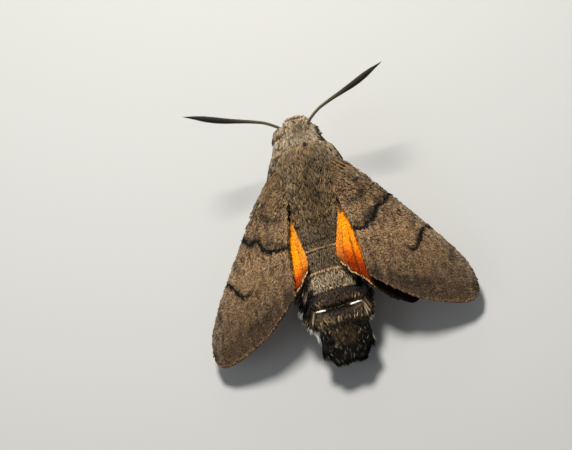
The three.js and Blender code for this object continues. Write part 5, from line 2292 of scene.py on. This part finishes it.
@dataclass
class Leg:
    """One leg: thigh and shin in one scaled skin, a foot of five segments, and its spurs and claws."""

    plan: LegPlan
    side: Side
    stance: Stance
    coats: Coats
    finishes: Finishes
    paths: PathTree
    measured_from: float = 12
    girth: tuple[Pair, ...] = ((0, 0.5), (0.3, 0.46), (0.48, 0.34), (0.6, 0.34), (1, 0.2))
    scales: Coat = Coat(95, 0.1, 0.52, 16, 16, 14, 0.8, 0.02, seed=41)
    foot_girth: Pair = (0.19, 0.12)
    foot_drop: float = 0.3
    segments: int = 5
    claw: float = 0.3
    claw_radius: float = 0.05
    claw_turn: float = 0.16
    spur: float = 1
    spur_radius: float = 0.09
    spur_from: float = 0.5
    spur_step: float = 1.6
    spur_leans: tuple[Triple, ...] = ((0.75, 0, -0.3), (0, -0.75, -0.3))

    @property
    def tag(self) -> str:
        """Which leg it is."""
        return f"{self.plan.name}_{self.side.value}"

    def place(self, places: Array) -> Array:
        """Turns places over the floor, in millimetres, into places of the frame."""
        middle = self.stance.place(np.array([0, self.measured_from, 0]))
        outward = np.asarray(places, float) * np.array([self.side.sign, 1, 1])
        return outward * MM + np.array([*middle[:2], 0])

    def upper(self) -> None:
        """Builds thigh and shin, and the scales over them."""
        hip, knee, ankle = (np.array(k) for k in (self.plan.hip, self.plan.knee, self.plan.ankle))
        line = curve_through((hip, hip * 0.45 + knee * 0.55, knee, knee * 0.55 + ankle * 0.45, ankle), 56)
        at, radii = zip(*self.girth)
        girth = np.interp(np.linspace(0, 1, len(line)), at, radii) * MM
        sheet = tube_sheet(self.place(line), girth, 20)
        skin = sheet_object(f"leg_skin_{self.tag}", sheet)
        dress(skin, Slot.LEG, f"leg_{self.tag}", finish=self.finishes.of(LEG_SKIN))
        sheet.values["reach"] = 1.3 - 0.6 * sheet.values["share"]
        name = f"leg_scales_{self.tag}"
        self.coats.lay(name, sheet_object(name, sheet, ROOT_MAP), self.scales, Blade.SCALE,
                       self.finishes.of(LEG_SCALES), Slot.LEG)

    def foot(self) -> None:
        """Builds the foot's segments along the floor."""
        ankle = np.array(self.plan.ankle)
        thick, thin = self.foot_girth
        toe = np.array([*self.plan.toe, thin + 0.01])
        down = ankle + (toe - ankle) * self.foot_drop
        down[2] = thick + 0.02
        line = curve_through((ankle, down, (down + toe) / 2, toe), 40)
        girth = np.linspace(thick, thin, len(line)) * MM
        segment = barrel("foot_segment", ((-0.5, 0.6), (-0.35, 0.9), (0.25, 1), (0.5, 0.72)), 12)
        made = self.paths.string(f"foot_{self.tag}", self.place(line), girth, segment, self.segments, 1.08,
                                 self.finishes.of(FOOT_HORN))
        dress(made, Slot.LEG)

    def horns(self) -> None:
        """Builds the shin's spurs and the two claws."""
        knee, ankle = np.array(self.plan.knee), np.array(self.plan.ankle)
        shin = unit(ankle - knee)
        thin = self.foot_girth[1]
        toe = np.array([*self.plan.toe, thin])
        ahead = unit(np.array([*(toe - ankle)[:2], 0]))
        across = np.array([-ahead[1], ahead[0], 0])
        cones = []
        for k in range(self.plan.spurs):
            start = ankle - shin * (self.spur_from + self.spur_step * k)
            for lean in self.spur_leans:
                cones.append((start, start + unit(shin + np.array(lean)) * self.spur, self.spur_radius))
        for turn in (-1, 1):
            tip = toe + ahead * self.claw + across * turn * self.claw_turn - np.array([0, 0, thin - 0.02])
            cones.append((toe + across * turn * self.claw_radius, tip, self.claw_radius))
        cones = [(self.place(base), self.place(tip), radius * MM) for base, tip, radius in cones]
        dress(cones_object(f"claws_{self.tag}", cones), Slot.LEG, finish=self.finishes.of(CLAW_HORN))

    def build(self) -> None:
        """Builds the leg."""
        self.upper()
        self.foot()
        self.horns()


# Stage and camera


@dataclass(frozen=True)
class Lamp:
    """A round soft light that looks at the middle: its place and size in metres."""

    name: str
    place: Triple
    size: float
    power: float
    colour: Triple

    def build(self) -> None:
        """Makes the light."""
        light = bpy.data.lights.new(self.name, "AREA")
        light.shape, light.size, light.energy, light.color = "DISK", self.size, self.power, self.colour
        made = bpy.data.objects.new(self.name, light)
        made.location = self.place
        made.rotation_euler = (-Vector(self.place)).to_track_quat("-Z", "Y").to_euler()
        bpy.context.scene.collection.objects.link(made)


@dataclass(frozen=True)
class Stage:
    """The pale floor, the soft lights and the plain world."""

    finishes: Finishes
    half: float = 0.4
    sky: Triple = (0.9, 0.95, 1)
    sky_strength: float = 0.3
    lamps: tuple[Lamp, ...] = (
        Lamp("key", (0.002, 0.085, 0.175), 0.05, 0.8, (1, 0.97, 0.92)),
        Lamp("fill", (-0.16, -0.06, 0.12), 0.14, 0.1, (0.92, 0.96, 1)),
        Lamp("back", (0.02, 0.2, 0.08), 0.1, 0.12, (1, 1, 1)),
    )

    def build(self) -> None:
        """Makes the floor, the world and the lights."""
        mesh = bpy.data.meshes.new("floor")
        far = self.half
        corners = [(-far, -far, 0), (far, -far, 0), (far, far, 0), (-far, far, 0)]
        mesh.from_pydata(corners, [], [(0, 1, 2, 3)])
        mesh.materials.append(self.finishes.of(FLOOR_CARD))
        floor = link_object("floor", mesh)
        world = bpy.data.worlds.new("studio")
        world.use_nodes = True
        background = world.node_tree.nodes["Background"]
        background.inputs["Color"].default_value = (*self.sky, 1)
        background.inputs["Strength"].default_value = self.sky_strength
        bpy.context.scene.world = world
        bpy.context.scene.view_settings.view_transform = "Standard"
        for lamp in self.lamps:
            lamp.build()


@dataclass(frozen=True)
class View:
    """The camera: angles round the body in degrees, and one place of the body with its pixel."""

    stance: Stance
    pitch: float = 20
    roll: float = 6
    tilt: float = 13.1
    pixels_per_mm: float = 8.8
    distance: float = 270.8
    lens: float = 150
    sensor: float = 36
    clip: Pair = (0.01, 10)
    anchor: Triple = (0, 1.05, 1.7)
    anchor_pixel: Pair = (294.5, 124.5)
    middle_pixel: Pair = (286, 225)

    def turned(self, way: Array) -> Array:
        """Turns a direction [right, forwards, up] of the body into one of the frame."""
        return self.stance.direction(np.array([way[0], -way[1], way[2]]))

    def build(self) -> None:
        """Makes the camera and looks through it."""
        pitch, roll, tilt = (math.radians(k) for k in (self.pitch, self.roll, self.tilt))
        a, b, c = math.sin(roll), math.sin(pitch) * math.cos(roll), math.cos(pitch) * math.cos(roll)
        away = np.array([a, -b, c])
        level = math.sqrt(1 - b * b)
        side, rise = np.array([c, 0, -a]) / level, np.array([a * b, 1 - b * b, b * c]) / level
        right = math.cos(tilt) * side - math.sin(tilt) * rise
        up = math.sin(tilt) * side + math.cos(tilt) * rise
        off_right = (self.anchor_pixel[0] - self.middle_pixel[0]) / self.pixels_per_mm
        off_up = (self.middle_pixel[1] - self.anchor_pixel[1]) / self.pixels_per_mm
        x, s, z = self.anchor
        place = np.array([x, -s, z]) + away * self.distance - right * off_right - up * off_up
        camera_data = bpy.data.cameras.new("camera")
        camera_data.lens, camera_data.sensor_width = self.lens, self.sensor
        camera_data.clip_start, camera_data.clip_end = self.clip
        camera = bpy.data.objects.new("camera", camera_data)
        axes = np.stack([self.turned(right), self.turned(up), self.turned(away)], axis=1)
        matrix = Matrix(axes.tolist()).to_4x4()
        matrix.translation = Vector(self.turned(place) * MM + self.stance.origin)
        camera.matrix_world = matrix
        bpy.context.scene.collection.objects.link(camera)
        bpy.context.scene.camera = camera


def main() -> None:
    """Builds the moth piece by piece."""
    logging.basicConfig(level=logging.INFO, format="%(message)s")
    stance = Stance.read()
    View(stance).build()
    coats, finishes, paths = Coats(), Finishes(), PathTree()
    Trunk(stance, coats, finishes).build()
    Face(stance, coats, finishes, paths).build()
    for plan in LEGS:
        for side in Side:
            Leg(plan, side, stance, coats, finishes, paths).build()
    for side in Side:
        Forewing(FOREWING, side, stance, coats, finishes).build()
        Hindwing(HINDWING, side, stance, coats, finishes).build()
    Stage(finishes).build()


if __name__ == "__main__":
    main()
